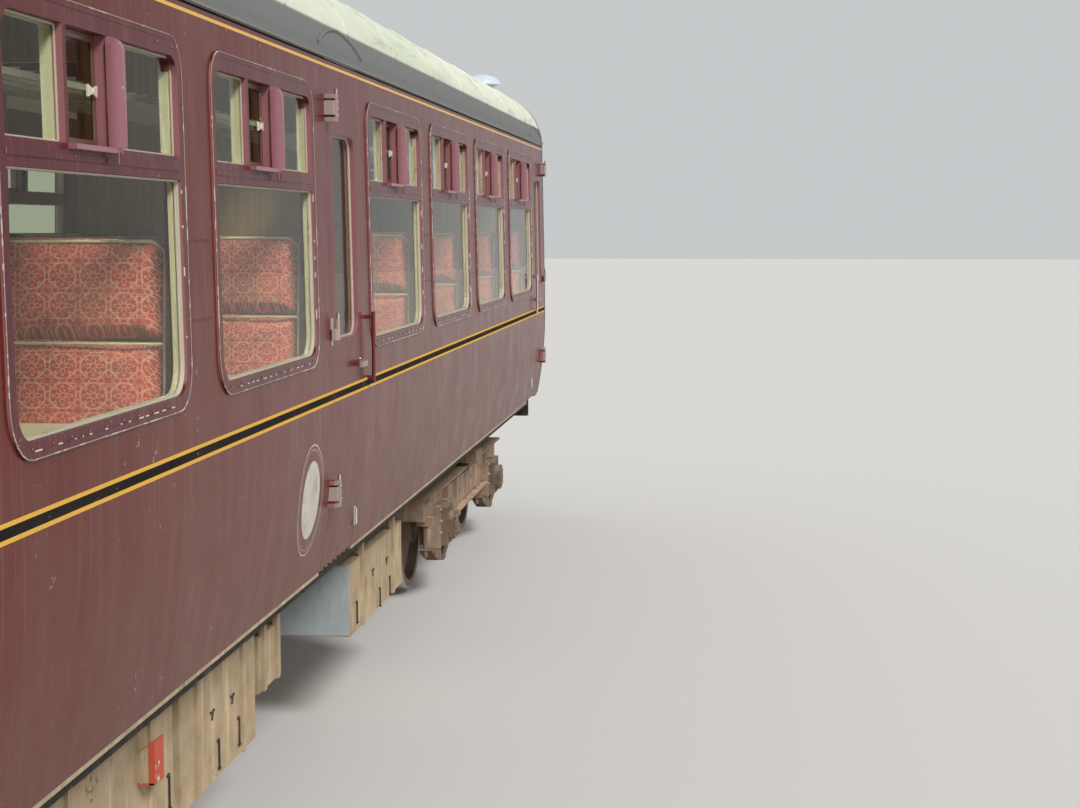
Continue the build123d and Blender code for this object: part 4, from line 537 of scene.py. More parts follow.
@dataclass(frozen=True)
class CoachPaint(Finish):
    """Glossy paint on steel panels with lining, a painted shadow under the gutter, streaks, dust with a
    painted reflection of the ground low down, and panelling on the inner faces.
    """

    name: str = "maroon_gloss"
    base: Colour = (0.115, 0.016, 0.012)
    bloom: Colour = (0.165, 0.055, 0.040)
    edge: Colour = (0.36, 0.155, 0.165)
    worn: Colour = (0.33, 0.27, 0.235)
    # Colour low on the body: dust, and a painted reflection of the ground in the gloss.
    dirt: Colour = (0.200, 0.125, 0.100)
    panelling: Colour = (0.30, 0.20, 0.11)
    lines: tuple[PaintedLine, ...] = ()
    ring_centre: Point = (0.210, 0.0, 1.410 + RAIL)
    rings: tuple[tuple[float, float, Colour], ...] = ()
    weights: Point = (0.0, 1.0, 0.0)
    buckle: float = 1.0
    rough: float = 0.22
    chipping: float = 0.02
    coat: float = 0.10
    edging: float = 0.75
    wear: float = 0.8

    def paint(self, w: PaintWriter) -> None:
        """Write the paint's nodes."""
        colour = w.mix(w.spread(w.grain(1.1, 6.0, 0.6), 0.38, 0.72) * 0.30, self.base, self.bloom)
        streak = w.place(EFFECTS.streaks, Scale=16.0, Length=0.05)
        colour = w.mix(streak * 0.40, colour, self.bloom)
        fine = w.place(EFFECTS.streaks, Scale=70.0, Length=0.02)
        colour = w.mix(fine * 0.34, colour, scaled(self.bloom, 1.6))
        matt: Value = 0.0
        # Painted lining, and the black band just under the gutter, which is a painted shadow.
        for line in self.lines:
            mask = w.place(EFFECTS.line, Height=line.height, Width=line.width)
            colour = w.mix(mask, colour, line.colour)
            if line.colour == BLACK:
                matt = w.math("MAXIMUM", matt, mask)
        for radius, width, shade in self.rings:
            ring = w.place(EFFECTS.ring, Centre=self.ring_centre, Radius=radius, Width=width)
            faded = w.mix(w.spread(w.grain(16.0, 6.0), 0.40, 0.75), shade, scaled(shade, 0.72))
            colour = w.mix(ring * 0.94, colour, faded)
        # Paler brown low on the body, fading upwards in streaks: dust, and a painted reflection of the
        # ground.
        dust = w.place(EFFECTS.dust, Low=BODY.bottom - 0.05, High=BODY.bottom + 0.95, Grain=3.0)
        low = dust * (0.66 - streak * 0.45)
        colour = w.mix(low, colour, self.dirt)
        chips = w.place(EFFECTS.chips, Scale=85.0, Amount=self.chipping)
        colour = w.mix(chips * 0.7, colour, (0.42, 0.34, 0.27))
        proud = w.place(EFFECTS.proud)
        edge = w.spread(abs(w.separate(w.normal)[0]), 0.70, 0.85) * w.spread(proud, -0.036, -0.030)
        colour = w.mix(edge * self.edging, colour, self.edge)
        colour = w.mix(w.spread(proud, 0.004, 0.008) * self.wear, colour, self.worn)
        inner = w.place(EFFECTS.inside, Normal=w.normal, Weights=self.weights)
        wood = w.grain(4.0, 6.0, stretch=(1.2, 9.0, 9.0))
        boards = w.mix(wood, self.panelling, scaled(self.panelling, 0.72))
        colour = w.mix(inner, colour, boards)
        dull = matt + (low + chips) * 0.35
        rough = (w.grain(7.0, 5.0) * 0.16 + (self.rough - 0.06) + dull).clamp()
        coat = ((1.0 - inner) * self.coat * (1.0 - w.math("MAXIMUM", matt, low))).clamp()
        w.feed(Base_Color=colour, Roughness=rough, Coat_Weight=coat)
        w.feed(Coat_Roughness=0.07, Coat_IOR=1.25, Specular_IOR_Level=0.05)
        w.bump(w.place(EFFECTS.ripple, "Height", Buckle=self.buckle, Peel=0.012), 0.55, 0.012)


@dataclass(frozen=True)
class RoofPaint(Finish):
    """Pale matt roof paint, flaking, with dark growth towards the gutters and a cream ceiling inside."""

    name: str = "roof_pale_grey"
    base: Colour = (0.60, 0.64, 0.50)
    worn: Colour = (0.34, 0.34, 0.27)
    growth: Colour = (0.26, 0.28, 0.17)
    ceiling: Colour = (0.78, 0.76, 0.70)

    def paint(self, w: PaintWriter) -> None:
        """Write the roof's nodes."""
        along = w.vector("MULTIPLY", w.here, ALONG)
        colour = w.mix(w.spread(w.noise(along, 2.2, 8.0, 0.65), 0.36, 0.68), self.base, (0.72, 0.73, 0.60))
        flakes = w.place(EFFECTS.chips, Place=along, Scale=12.0, Amount=0.46)
        colour = w.mix(flakes * 0.35, colour, self.worn)
        cracks = w.place(EFFECTS.cracks, Scale=3.4, Width=0.018)
        colour = w.mix(cracks * 0.55, colour, (0.30, 0.29, 0.21))
        specks = w.place(EFFECTS.chips, Scale=55.0, Amount=0.25)
        colour = w.mix(specks * 0.6, colour, (0.78, 0.79, 0.70))
        growth = w.place(EFFECTS.dust, Place=along, Low=BODY.cantrail - 0.05, High=3.60, Grain=5.0)
        colour = w.mix(growth * 0.75, colour, self.growth)
        edge = BODY.cantrail
        foot = w.place(EFFECTS.dust, Place=along, Low=edge + 0.02, High=edge + 0.13, Grain=9.0)
        colour = w.mix((foot * 1.5).clamp(), colour, (0.085, 0.080, 0.070))
        colour = w.mix(w.spread(w.place(EFFECTS.proud), -0.026, -0.020), colour, (0.15, 0.155, 0.15))
        inner = w.place(EFFECTS.inside, Normal=w.normal, Weights=(0.0, 1.0, 1.0), Shift=(0.0, 0.0, -2.6))
        w.feed(Base_Color=w.mix(inner, colour, self.ceiling), Roughness=0.78 - specks * 0.15)
        w.bump(w.grain(26.0, 7.0) * 0.5 - cracks * 0.9, 0.5, 0.004)


@dataclass(frozen=True)
class GrimyPaint(Finish):
    """Paint or bare steel under a coat of brown brake dust."""

    name: str
    base: Colour
    dust: Colour = (0.27, 0.21, 0.145)
    cover: float = 0.75
    rough: float = 0.72
    low: float = 0.0
    high: float = 1.6
    chips: float = 0.25

    def paint(self, w: PaintWriter) -> None:
        """Write the grime's nodes."""
        cloud = w.spread(w.grain(6.5, 9.0, 0.66), 0.30, 0.70)
        colour = w.mix(cloud * 0.6, self.base, scaled(self.base, 0.45))
        dust = w.place(EFFECTS.dust, Low=self.low, High=self.high, Grain=9.0)
        cover = ((dust + (w.separate(w.normal)[2] * 0.5).clamp()) * self.cover).clamp()
        colour = w.mix(cover, colour, self.dust)
        chips = w.place(EFFECTS.chips, Scale=38.0, Amount=self.chips)
        colour = w.mix(chips * 0.7, colour, (0.17, 0.075, 0.035))
        streak = w.place(EFFECTS.streaks, Scale=22.0, Length=0.08)
        colour = w.mix(streak * 0.4, colour, scaled(self.dust, 1.35))
        w.feed(Base_Color=colour, Roughness=(self.rough + cover * 0.2).clamp(), Specular_IOR_Level=0.2)
        w.bump(w.grain(70.0, 8.0) + cloud * 0.5, 0.45, 0.0025)


@dataclass(frozen=True)
class PlainPaint(Finish):
    """Small painted part with slight colour change, chips and a little dirt."""

    name: str
    base: Colour
    under: Colour = (0.55, 0.50, 0.42)
    rough: float = 0.38
    chips: float = 0.2
    coat: float = 0.4
    grain: float = 90.0

    def paint(self, w: PaintWriter) -> None:
        """Write the paint's nodes."""
        cloud = w.grain(9.0, 6.0)
        colour = w.mix(cloud * 0.45, self.base, scaled(self.base, 0.62))
        chips = w.place(EFFECTS.chips, Scale=45.0, Amount=self.chips)
        colour = w.mix(chips, colour, self.under)
        streak = w.place(EFFECTS.streaks, Scale=60.0, Length=0.1)
        colour = w.mix(streak * 0.25, colour, (0.20, 0.15, 0.11))
        w.feed(Base_Color=colour, Roughness=(self.rough + cloud * 0.18).clamp())
        w.feed(Coat_Weight=self.coat, Coat_Roughness=0.15)
        w.bump(w.grain(self.grain, 3.0) - chips * 0.6, 0.3, 0.001)


@dataclass(frozen=True)
class PaneGlass(Finish):
    """Thin window glass that lets soft light through to the seats, with faint smears."""

    name: str = "pane_glass"
    tint: Colour = (0.74, 0.78, 0.64)
    smeared: Colour = (0.78, 0.80, 0.66)

    def paint(self, w: PaintWriter) -> None:
        """Write the glass's nodes."""
        smear = w.grain(5.0, 6.0, stretch=(1.0, 1.0, 0.3))
        colour = w.mix(w.spread(smear, 0.45, 0.95), self.tint, self.smeared)
        w.feed(Base_Color=colour, Roughness=w.spread(smear, 0.5, 0.9) * 0.10)
        w.feed(Transmission_Weight=1.0, IOR=1.10)
        shadow = w.get("Is Shadow Ray", "ShaderNodeLightPath")
        clear = w.get(0, "ShaderNodeBsdfTransparent", {"Color": (0.88, 0.92, 0.88, 1.0)})
        both = w.get(0, "ShaderNodeMixShader", {0: shadow, 1: Tap(w, w.surface.outputs[0]), 2: clear})
        w.send(both, w.tree.nodes["Material Output"].inputs["Surface"])


@dataclass(frozen=True)
class Moquette(Finish):
    """Woven seat cloth: red ground with a pale tracery of rosettes."""

    name: str = "seat_moquette"
    ground: Colour = (0.56, 0.045, 0.038)
    second: Colour = (0.42, 0.042, 0.033)
    tracery: Colour = (0.88, 0.52, 0.40)
    pitch: float = 0.100

    def paint(self, w: PaintWriter) -> None:
        """Write the cloth's nodes."""
        x, y, z = w.separate(w.here)
        rosettes = w.place(EFFECTS.rosettes, Place=w.join(y, x + z), Pitch=self.pitch)
        height = w.place(EFFECTS.weave, "Height", Scale=160.0)
        colour = w.mix(w.spread(w.grain(11.0, 2.0), 0.42, 0.60), self.ground, self.second)
        colour = w.mix(rosettes * 0.60, colour, self.tracery)
        colour = w.mix(height.other("Shade") * 0.35, colour, (0.05, 0.015, 0.012))
        colour = w.mix(w.spread(w.grain(3.0, 4.0), 0.45, 0.8) * 0.22, colour, (0.48, 0.30, 0.22))
        w.feed(Base_Color=colour, Roughness=0.92, Sheen_Weight=0.5, Sheen_Roughness=0.45)
        w.bump(height, 0.5, 0.0012)


@dataclass(frozen=True)
class Canvas(Finish):
    """Proofed black canvas of the gangways, dusty in its folds."""

    name: str = "gangway_canvas"
    base: Colour = (0.022, 0.022, 0.024)

    def paint(self, w: PaintWriter) -> None:
        """Write the canvas's nodes."""
        height = w.place(EFFECTS.weave, "Height", Scale=120.0)
        colour = w.mix(w.spread(w.grain(5.0, 6.0), 0.4, 0.75) * 0.6, self.base, (0.10, 0.085, 0.07))
        colour = w.mix(height.other("Shade") * 0.3, colour, (0.01, 0.01, 0.01))
        w.feed(Base_Color=colour, Roughness=0.8)
        w.bump(height, 0.6, 0.001)


@dataclass(frozen=True)
class Veneer(Finish):
    """Varnished wood with grain along x or z."""

    name: str
    light: Colour
    dark: Colour
    stretch: Point = (1.0, 1.0, 0.08)
    gloss: float = 0.32

    def paint(self, w: PaintWriter) -> None:
        """Write the wood's nodes."""
        grain = w.grain(42.0, 8.0, 0.6, self.stretch)
        figure = w.grain(7.0, 3.0, stretch=self.stretch)
        colour = w.mix(w.spread(grain, 0.35, 0.7), self.light, self.dark)
        colour = w.mix(w.spread(figure, 0.4, 0.7) * 0.4, colour, self.dark)
        w.feed(Base_Color=colour, Roughness=self.gloss, Coat_Weight=0.35)
        w.bump(grain, 0.2, 0.0006)


@dataclass(frozen=True)
class BareMetal(Finish):
    """Polished or worn metal with small scratches and tarnish."""

    name: str
    base: Colour
    rough: float = 0.22
    amount: float = 0.3
    tarnish: Colour = (0.22, 0.18, 0.14)

    def paint(self, w: PaintWriter) -> None:
        """Write the metal's nodes."""
        dull = w.spread(w.grain(24.0, 7.0, 0.65), 0.42, 0.72) * self.amount
        scratch = w.grain(60.0, 4.0, stretch=(1.0, 1.0, 12.0))
        colour, metal = self.cover(w, w.mix(dull, self.base, self.tarnish), (1.0 - dull * 0.6).clamp())
        rough = (self.rough + (dull * 0.5 + scratch * 0.08)).clamp()
        w.feed(Base_Color=colour, Roughness=rough, Metallic=metal)
        w.bump(scratch, 0.15, 0.0005)

    def cover(self, w: PaintWriter, colour: Tap, metal: Tap) -> tuple[Tap, Tap]:
        """Colour and metal as they show, which is bare unless a kind of metal says otherwise."""
        return colour, metal


@dataclass(frozen=True)
class RailMetal(BareMetal):
    """Bright hand rails at the ends of the coach, painted over at its middle."""

    painted: Colour = (0.115, 0.018, 0.016)
    bare_from: float = 4.0

    def cover(self, w: PaintWriter, colour: Tap, metal: Tap) -> tuple[Tap, Tap]:
        """Colour and metal with paint over them near the middle of the coach."""
        bare = w.math("GREATER_THAN", abs(w.separate(w.here)[0]), self.bare_from)
        return w.mix(bare, self.painted, colour), metal * bare


@dataclass(frozen=True)
class WheelSteel(Finish):
    """Brown wheel steel whose tread is worn bright, about one axle."""

    name: str
    axle: Pair
    tread: float = 0.4572

    def paint(self, w: PaintWriter) -> None:
        """Write the wheel's nodes."""
        reach = w.reach(w.here, (self.axle[0], 0.0, self.axle[1]))
        across = abs(w.separate(w.here)[1])
        colour = w.mix(w.spread(w.grain(8.0, 8.0, 0.65), 0.3, 0.7), (0.15, 0.105, 0.07), (0.27, 0.20, 0.14))
        tread = ((reach - (self.tread - 0.010)) * 300.0).clamp() * ((across - 0.70) * 60.0).clamp()
        colour = w.mix(tread, colour, (0.60, 0.58, 0.55))
        w.feed(Base_Color=colour, Roughness=0.75 - tread * 0.5, Metallic=tread * 0.9)
        w.bump(w.grain(60.0, 8.0), 0.35, 0.002)


YELLOW = (0.74, 0.42, 0.075)
BLACK = (0.012, 0.012, 0.013)
BRIGHT = (0.72, 0.71, 0.69)
LINING_AND_GUTTER_SHADOW = tuple(
    PaintedLine(height + RAIL, width, colour)
    for height, width, colour in (
        (1.800, 0.053, BLACK),
        (1.780, 0.0125, YELLOW),
        (1.820, 0.0125, YELLOW),
        # Black band just under the gutter: a painted shadow of the gutter.
        (3.228, 0.018, BLACK),
        (3.198, 0.012, YELLOW),
    )
)
ROUNDEL = (
    (0.226, 0.006, (0.60, 0.56, 0.50)),
    (0.206, 0.004, (0.45, 0.40, 0.36)),
    (0.080, 0.160, (0.66, 0.63, 0.56)),
)


class Finishes:
    """Every finish of the coach by its use."""

    side = CoachPaint(lines=LINING_AND_GUTTER_SHADOW, rings=ROUNDEL)
    door = CoachPaint(name="maroon_door", lines=LINING_AND_GUTTER_SHADOW, buckle=0.5)
    frames = CoachPaint(
        "maroon_frame", (0.095, 0.016, 0.022), panelling=(0.30, 0.17, 0.09), buckle=0.2, wear=0.0
    )
    end = CoachPaint(
        name="faded_end_blue",
        base=(0.030, 0.042, 0.052),
        bloom=(0.075, 0.095, 0.105),
        dirt=(0.10, 0.085, 0.07),
        weights=(1.0, 0.0, 0.0),
        rough=0.42,
        edging=0.0,
        wear=0.0,
    )
    roof = RoofPaint()
    underframe = GrimyPaint("underframe_grime", (0.026, 0.022, 0.018), (0.12, 0.095, 0.070), 0.5, low=0.55)
    truss = GrimyPaint("truss_grime", (0.035, 0.029, 0.024), low=0.2, high=1.3)
    box = GrimyPaint("box_grime", (0.33, 0.25, 0.16), (0.70, 0.52, 0.31), 0.85, low=0.2, high=1.3, chips=0.08)
    # Pale finish under the body: dust, and a painted highlight of sunlit steel.
    solebar = GrimyPaint("solebar_dust", (0.40, 0.32, 0.20), (0.62, 0.50, 0.32), 0.8, low=0.6, high=1.3)
    bogie = GrimyPaint("bogie_grime", (0.16, 0.105, 0.070), (0.62, 0.445, 0.31), 0.95, high=1.25)
    springs = GrimyPaint("spring_grime", (0.085, 0.062, 0.045), (0.45, 0.32, 0.22), 0.8, high=0.9)
    brakes = GrimyPaint("brake_rust", (0.13, 0.065, 0.035), (0.25, 0.17, 0.10), 0.6, high=1.0)
    buffer = GrimyPaint("buffer_grease", (0.05, 0.047, 0.043), (0.15, 0.125, 0.10), 0.5, rough=0.42)
    hinge = PlainPaint("hinge_grey_brown", (0.40, 0.31, 0.27), (0.55, 0.48, 0.42), 0.5, 0.1, 0.1)
    end_plate = PlainPaint("box_end_blue_grey", (0.36, 0.40, 0.40), (0.30, 0.26, 0.20), 0.6, 0.05, 0.0)
    deflector = PlainPaint("deflector_pink_maroon", (0.29, 0.105, 0.125), (0.42, 0.24, 0.24), chips=0.03)
    reveal = PlainPaint("reveal_cream", (0.60, 0.54, 0.42), (0.45, 0.36, 0.25), 0.5, 0.08, 0.1)
    vent = PlainPaint("vent_pale_blue", (0.60, 0.66, 0.72), (0.30, 0.30, 0.28), 0.5, coat=0.1)
    gasket = PlainPaint("gasket_beige", (0.46, 0.38, 0.29), (0.25, 0.20, 0.15), 0.6, 0.3, 0.0)
    brown_frame = PlainPaint("slider_brown", (0.14, 0.060, 0.035), rough=0.4)
    cream = PlainPaint("catch_cream", (0.72, 0.64, 0.50), (0.40, 0.34, 0.26), 0.45, 0.1)
    chipped = PlainPaint("chipped_edge", (0.34, 0.24, 0.19), rough=0.6, chips=0.55, coat=0.0)
    black_paint = PlainPaint("fitting_black", (0.02, 0.02, 0.021), (0.16, 0.10, 0.06), 0.5, coat=0.1)
    red_paint = PlainPaint("tag_red", (0.52, 0.075, 0.035), (0.62, 0.55, 0.45), 0.55, 0.03, 0.0)
    piping = PlainPaint("seat_piping", (0.74, 0.60, 0.44), (0.40, 0.28, 0.18), 0.85, coat=0.0, grain=400.0)
    lamp = PlainPaint("lamp_opal", (0.86, 0.84, 0.76), (0.7, 0.68, 0.6), 0.25, 0.0, 0.5)
    glass = PaneGlass()
    fabric = Moquette()
    canvas = Canvas()
    lining = Veneer("panelling_brown", (0.33, 0.20, 0.10), (0.22, 0.13, 0.06))
    shell = Veneer("seat_shell_brown", (0.25, 0.12, 0.055), (0.13, 0.055, 0.025))
    table = Veneer("table_cream", (0.74, 0.67, 0.50), (0.66, 0.58, 0.42), (0.2, 1.0, 1.0))
    lino = Veneer("floor_brown", (0.20, 0.13, 0.085), (0.12, 0.075, 0.05), (1.0, 1.0, 1.0), 0.5)
    bright = BareMetal("bright_metal", BRIGHT, 0.12, 0.15)
    rails = RailMetal("rail_metal", BRIGHT, 0.12, 0.15)
    screw = BareMetal("screw_metal", (0.50, 0.45, 0.40), 0.35, 0.6)
    rack = BareMetal("rack_alloy", (0.70, 0.70, 0.68), 0.3, 0.2)


def link(name: str, data: bpy.types.ID) -> bpy.types.Object:
    """Put an object with a mesh, camera or lamp into the scene."""
    piece = bpy.data.objects.new(name, data)
    bpy.context.scene.collection.objects.link(piece)
    return piece


def baked(piece: bpy.types.Object) -> bpy.types.Mesh:
    """Plain mesh of a piece as its modifiers leave it."""
    depsgraph = bpy.context.evaluated_depsgraph_get()
    return bpy.data.meshes.new_from_object(piece.evaluated_get(depsgraph), depsgraph=depsgraph)


def settle(piece: bpy.types.Object, body: str) -> bpy.types.Object:
    """Let a finished piece ride on its body and report it."""
    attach(piece, body)
    log.info("made %s on %s", piece.name, body)
    return piece


def dress(finish: Finish, *names: str) -> None:
    """Give carried-over CAD nodes their finish."""
    for name in names:
        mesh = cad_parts[name].data
        mesh.materials.clear()
        mesh.materials.append(finish.material())
        log.info("dressed %s with %s", name, finish.name)


def span(middle: float, half: float) -> Pair:
    """Span that reaches as far to both sides of its middle."""
    return middle - half, middle + half


def upright(base: Point, axis: Point) -> Matrix:
    """Matrix that stands a shape on a base point, its Z along an axis."""
    return Matrix.Translation(base) @ Vector(axis).to_track_quat("Z", "Y").to_matrix().to_4x4()


class MeshMaker:
    """Collects faces in the row frame and makes one piece of them."""

    def __init__(self, out: int = 1) -> None:
        """Start empty.

        Args:
            out: Sign that turns a distance out from the centreline into y.
        """
        self.bm = bmesh.new()
        self.out = out

    def box(self, x: Pair, y: Pair, z: Pair) -> list[bmesh.types.BMVert]:
        """Add a box given as three spans.

        Args:
            x: Span along the coach.
            y: Span out from its centreline.
            z: Span upwards.

        Returns:
            The new vertices.
        """
        spans = (x, (self.out * y[0], self.out * y[1]), z)
        size = [abs(b - a) for a, b in spans]
        matrix = Matrix.Translation([(a + b) / 2 for a, b in spans]) @ Matrix.Diagonal((*size, 1.0))
        return bmesh.ops.create_cube(self.bm, size=1.0, matrix=matrix)["verts"]

    def rod(self, start: Point, end: Point, radius: float, steps: int = 12) -> None:
        """Add a round rod between two points, their y out from the centreline."""
        a, b = (Vector((x, self.out * y, z)) for x, y, z in (start, end))
        bmesh.ops.create_cone(
            self.bm,
            cap_ends=True,
            segments=steps,
            radius1=radius,
            radius2=radius,
            depth=(b - a).length,
            matrix=upright((a + b) / 2, b - a),
        )

    def lathe(self, profile: Sequence[Pair], base: Point, axis: Point, steps: int = 24) -> None:
        """Turn a profile of (radius, height) pairs about an axis through a base point.

        Args:
            profile: Pairs from the base upwards.
            base: Point on the axis at height 0, in the row frame.
            axis: Direction of the axis.
            steps: Points round it.
        """
        matrix = upright(base, axis)
        rings = []
        for radius, height in profile:
            angles = [2 * math.pi * step / steps for step in range(steps)]
            places = [Vector((radius * math.cos(a), radius * math.sin(a), height)) for a in angles]
            rings.append([self.bm.verts.new(matrix @ place) for place in places])
        for lower, upper in zip(rings, rings[1:]):
            for step in range(steps):
                after = (step + 1) % steps
                self.bm.faces.new((lower[step], lower[after], upper[after], upper[step]))
        for ring in (rings[0], rings[-1]):
            self.bm.faces.new(ring)

    def band(self, outer: Sequence[Point], inner: Sequence[Point], thick: Point) -> None:
        """Add a closed flat band between two loops of as many points.

        Args:
            outer: Points of the outer loop.
            inner: Points of the inner loop.
            thick: The band's thickness as a vector.
        """
        shifts = (Vector(), Vector(thick))
        loops = [[self.bm.verts.new(Vector(p) + s) for p in loop] for s in shifts for loop in (outer, inner)]
        low_out, low_in, high_out, high_in = loops
        for i in range(len(outer)):
            j = (i + 1) % len(outer)
            self.bm.faces.new((low_out[i], low_out[j], low_in[j], low_in[i]))
            self.bm.faces.new((high_out[i], high_in[i], high_in[j], high_out[j]))
            self.bm.faces.new((low_out[i], high_out[i], high_out[j], low_out[j]))
            self.bm.faces.new((low_in[i], low_in[j], high_in[j], high_in[i]))

    def mesh(self, name: str) -> bpy.types.Mesh:
        """Turn the faces into a mesh and let go of them."""
        mesh = bpy.data.meshes.new(name)
        self.bm.to_mesh(mesh)
        self.bm.free()
        return mesh

    def finish(self, name: str, finish: Finish, slot: Slot, bevel: float = 0.0, body: str = COACH) -> None:
        """Make the piece and let it ride.

        Args:
            name: Name of the piece.
            finish: What its surface looks like.
            slot: Material slot of the record; not used.
            bevel: Width of rounded edges, or 0 for none.
            body: CAD body that it moves with.
        """
        bmesh.ops.recalc_face_normals(self.bm, faces=self.bm.faces)
        piece = link(name, self.mesh(name))
        if bevel > 0:
            modifier = piece.modifiers.new("edges", "BEVEL")
            modifier.width = bevel
            modifier.segments = 2
            modifier.limit_method = "ANGLE"
            modifier.harden_normals = True
        piece.data.materials.append(finish.material())
        settle(piece, body)


class ShapeTree(TreeBuilder):
    """Writes one geometry node tree with named sizes."""

    def __init__(self, name: str, **sizes: object) -> None:
        """Make the tree with its host geometry, its finish and its sizes as inputs."""
        super().__init__(name, "GeometryNodeTree", Geometry="Geometry", Finish="Material", **sizes)
        self.host, self.material, *self.sizes = self.taps

    def step(
        self, kind: str, geometry: Tap, output: str = "Geometry", label: str = "Geometry", **inputs: Value
    ) -> Tap:
        """Add a node that works on a geometry and take what it makes of it.

        Args:
            kind: The node's type, without its first words.
            geometry: What it works on.
            output: Name of the output.
            label: Name of the geometry's input.
            **inputs: Its other inputs, an underscore standing for a space.

        Returns:
            The new geometry.
        """
        values = {name.replace("_", " "): value for name, value in inputs.items()}
        return self.get(output, f"GeometryNode{kind}", {label: geometry} | values)

    def rounded(self, curve: Tap, radius: Tap, count: int) -> Tap:
        """Curve with its corners rounded."""
        inputs = {"Curve": curve, "Radius": radius, "Limit Radius": True, "Count": count}
        return self.get("Curve", "GeometryNodeFilletCurve", inputs, mode="POLY")

    def swept(self, curve: Tap, profile: Tap, caps: bool = False) -> Tap:
        """Mesh of a profile swept along a curve."""
        return self.step("CurveToMesh", curve, "Mesh", "Curve", Profile_Curve=profile, Fill_Caps=caps)

    def circle(self, sides: Value, radius: Tap) -> Tap:
        """Round profile."""
        return self.get("Curve", "GeometryNodeCurvePrimitiveCircle", {"Resolution": sides, "Radius": radius})

    def attribute(self, name: str, kind: str) -> Tap:
        """Value that the host's points carry."""
        return self.get("Attribute", "GeometryNodeInputNamedAttribute", {"Name": name}, data_type=kind)

    def close(self, geometry: Tap, smooth: bool = True) -> bpy.types.NodeTree:
        """End the tree in Realize Instances, shading and Set Material."""
        real = self.step("RealizeInstances", geometry)
        shaded = self.step("SetShadeSmooth", real, Shade_Smooth=smooth)
        return self.give("Geometry", Geometry=self.step("SetMaterial", shaded, Material=self.material))

    def close_copies(self, piece: Tap, rotation: Value = ORIGIN, smooth: bool = True) -> bpy.types.NodeTree:
        """End the tree with a copy of a piece on each point of the host."""
        inputs = {"Points": self.host, "Instance": piece, "Rotation": rotation}
        return self.close(self.get("Instances", "GeometryNodeInstanceOnPoints", inputs), smooth)


class Patterns:
    """Geometry node trees for what repeats or follows a path."""

    @cached_property
    def studs(self) -> bpy.types.NodeTree:
        """Round heads on points, each turned to its point's facing."""
        t = ShapeTree("round_heads", Radius=0.004, Height=0.003, Sides=8, Crown=0.7)
        radius, height, sides, crown = t.sizes
        inputs = {"Vertices": sides, "Radius Bottom": radius, "Radius Top": radius * crown, "Depth": height}
        head = t.get("Mesh", "GeometryNodeMeshCone", inputs, fill_type="NGON")
        facing = {"Vector": t.attribute("facing", "FLOAT_VECTOR")}
        turn = t.get("Rotation", "FunctionNodeAlignRotationToVector", facing, axis="Z")
        return t.close_copies(head, turn, smooth=False)

    @cached_property
    def tubes(self) -> bpy.types.NodeTree:
        """Round tube along each run of edges, its corners rounded by a bend radius."""
        t = ShapeTree("bent_tubes", Radius=0.005, Sides=8, Bend=0.0)
        radius, sides, bend = t.sizes
        line = t.rounded(t.step("MeshToCurve", t.host, "Curve", "Mesh"), bend, 5)
        return t.close(t.swept(line, t.circle(sides, radius), caps=True))

    @cached_property
    def coils(self) -> bpy.types.NodeTree:
        """Upright coil spring on each point."""
        t = ShapeTree("coil_springs", Coil_Radius=0.095, Wire_Radius=0.016, Height=0.4, Turns=6.0)
        radius, wire, height, turns = t.sizes
        inputs = {"Resolution": 20, "Rotations": turns, "Start Radius": radius, "End Radius": radius}
        spiral = t.get("Curve", "GeometryNodeCurveSpiral", inputs | {"Height": height})
        return t.close_copies(t.swept(spiral, t.circle(8, wire), caps=True))

    @cached_property
    def copies(self) -> bpy.types.NodeTree:
        """Copies of one made piece on points, each turned about Z by its point's turn."""
        t = ShapeTree("placed_copies", Piece="Object")
        info = t.get("Geometry", "GeometryNodeObjectInfo", {"Object": t.sizes[0]}, transform_space="ORIGINAL")
        euler = t.join(z=t.attribute("turn", "FLOAT"))
        return t.close_copies(info, t.get("Rotation", "FunctionNodeEulerToRotation", {"Euler": euler}))

    @cached_property
    def bellows(self) -> bpy.types.NodeTree:
        """Pleated tube about each point, its folds running along Z before it is turned by Tilt."""
        sizes = {"Width": 1.0, "Height": 2.0, "Corner": 0.12, "Length": 0.2}
        t = ShapeTree("pleated_tube", **sizes, Folds=8, Depth=0.03, Tilt=ORIGIN)
        width, height, corner, length, folds, depth, tilt = t.sizes
        count = folds * 2.0
        line = {"Count": count + 1.0, "Offset": t.join(y=length / count)}
        index = t.get("Index", "GeometryNodeInputIndex")
        push = t.join(index % 2.0 * depth)
        zigzag = t.step("SetPosition", t.get("Mesh", "GeometryNodeMeshLine", line), Offset=push)
        profile = t.step("MeshToCurve", zigzag, "Curve", "Mesh")
        sides = {"Width": width, "Height": height}
        loop = t.get("Curve", "GeometryNodeCurvePrimitiveQuadrilateral", sides, mode="RECTANGLE")
        inputs = {"Curve": t.rounded(loop, corner, 6)}
        path = t.get("Curve", "GeometryNodeSetCurveNormal", inputs, mode="Z_UP")
        turn = t.get("Rotation", "FunctionNodeEulerToRotation", {"Euler": tilt})
        return t.close_copies(t.swept(path, profile), turn)


PATTERNS = Patterns()


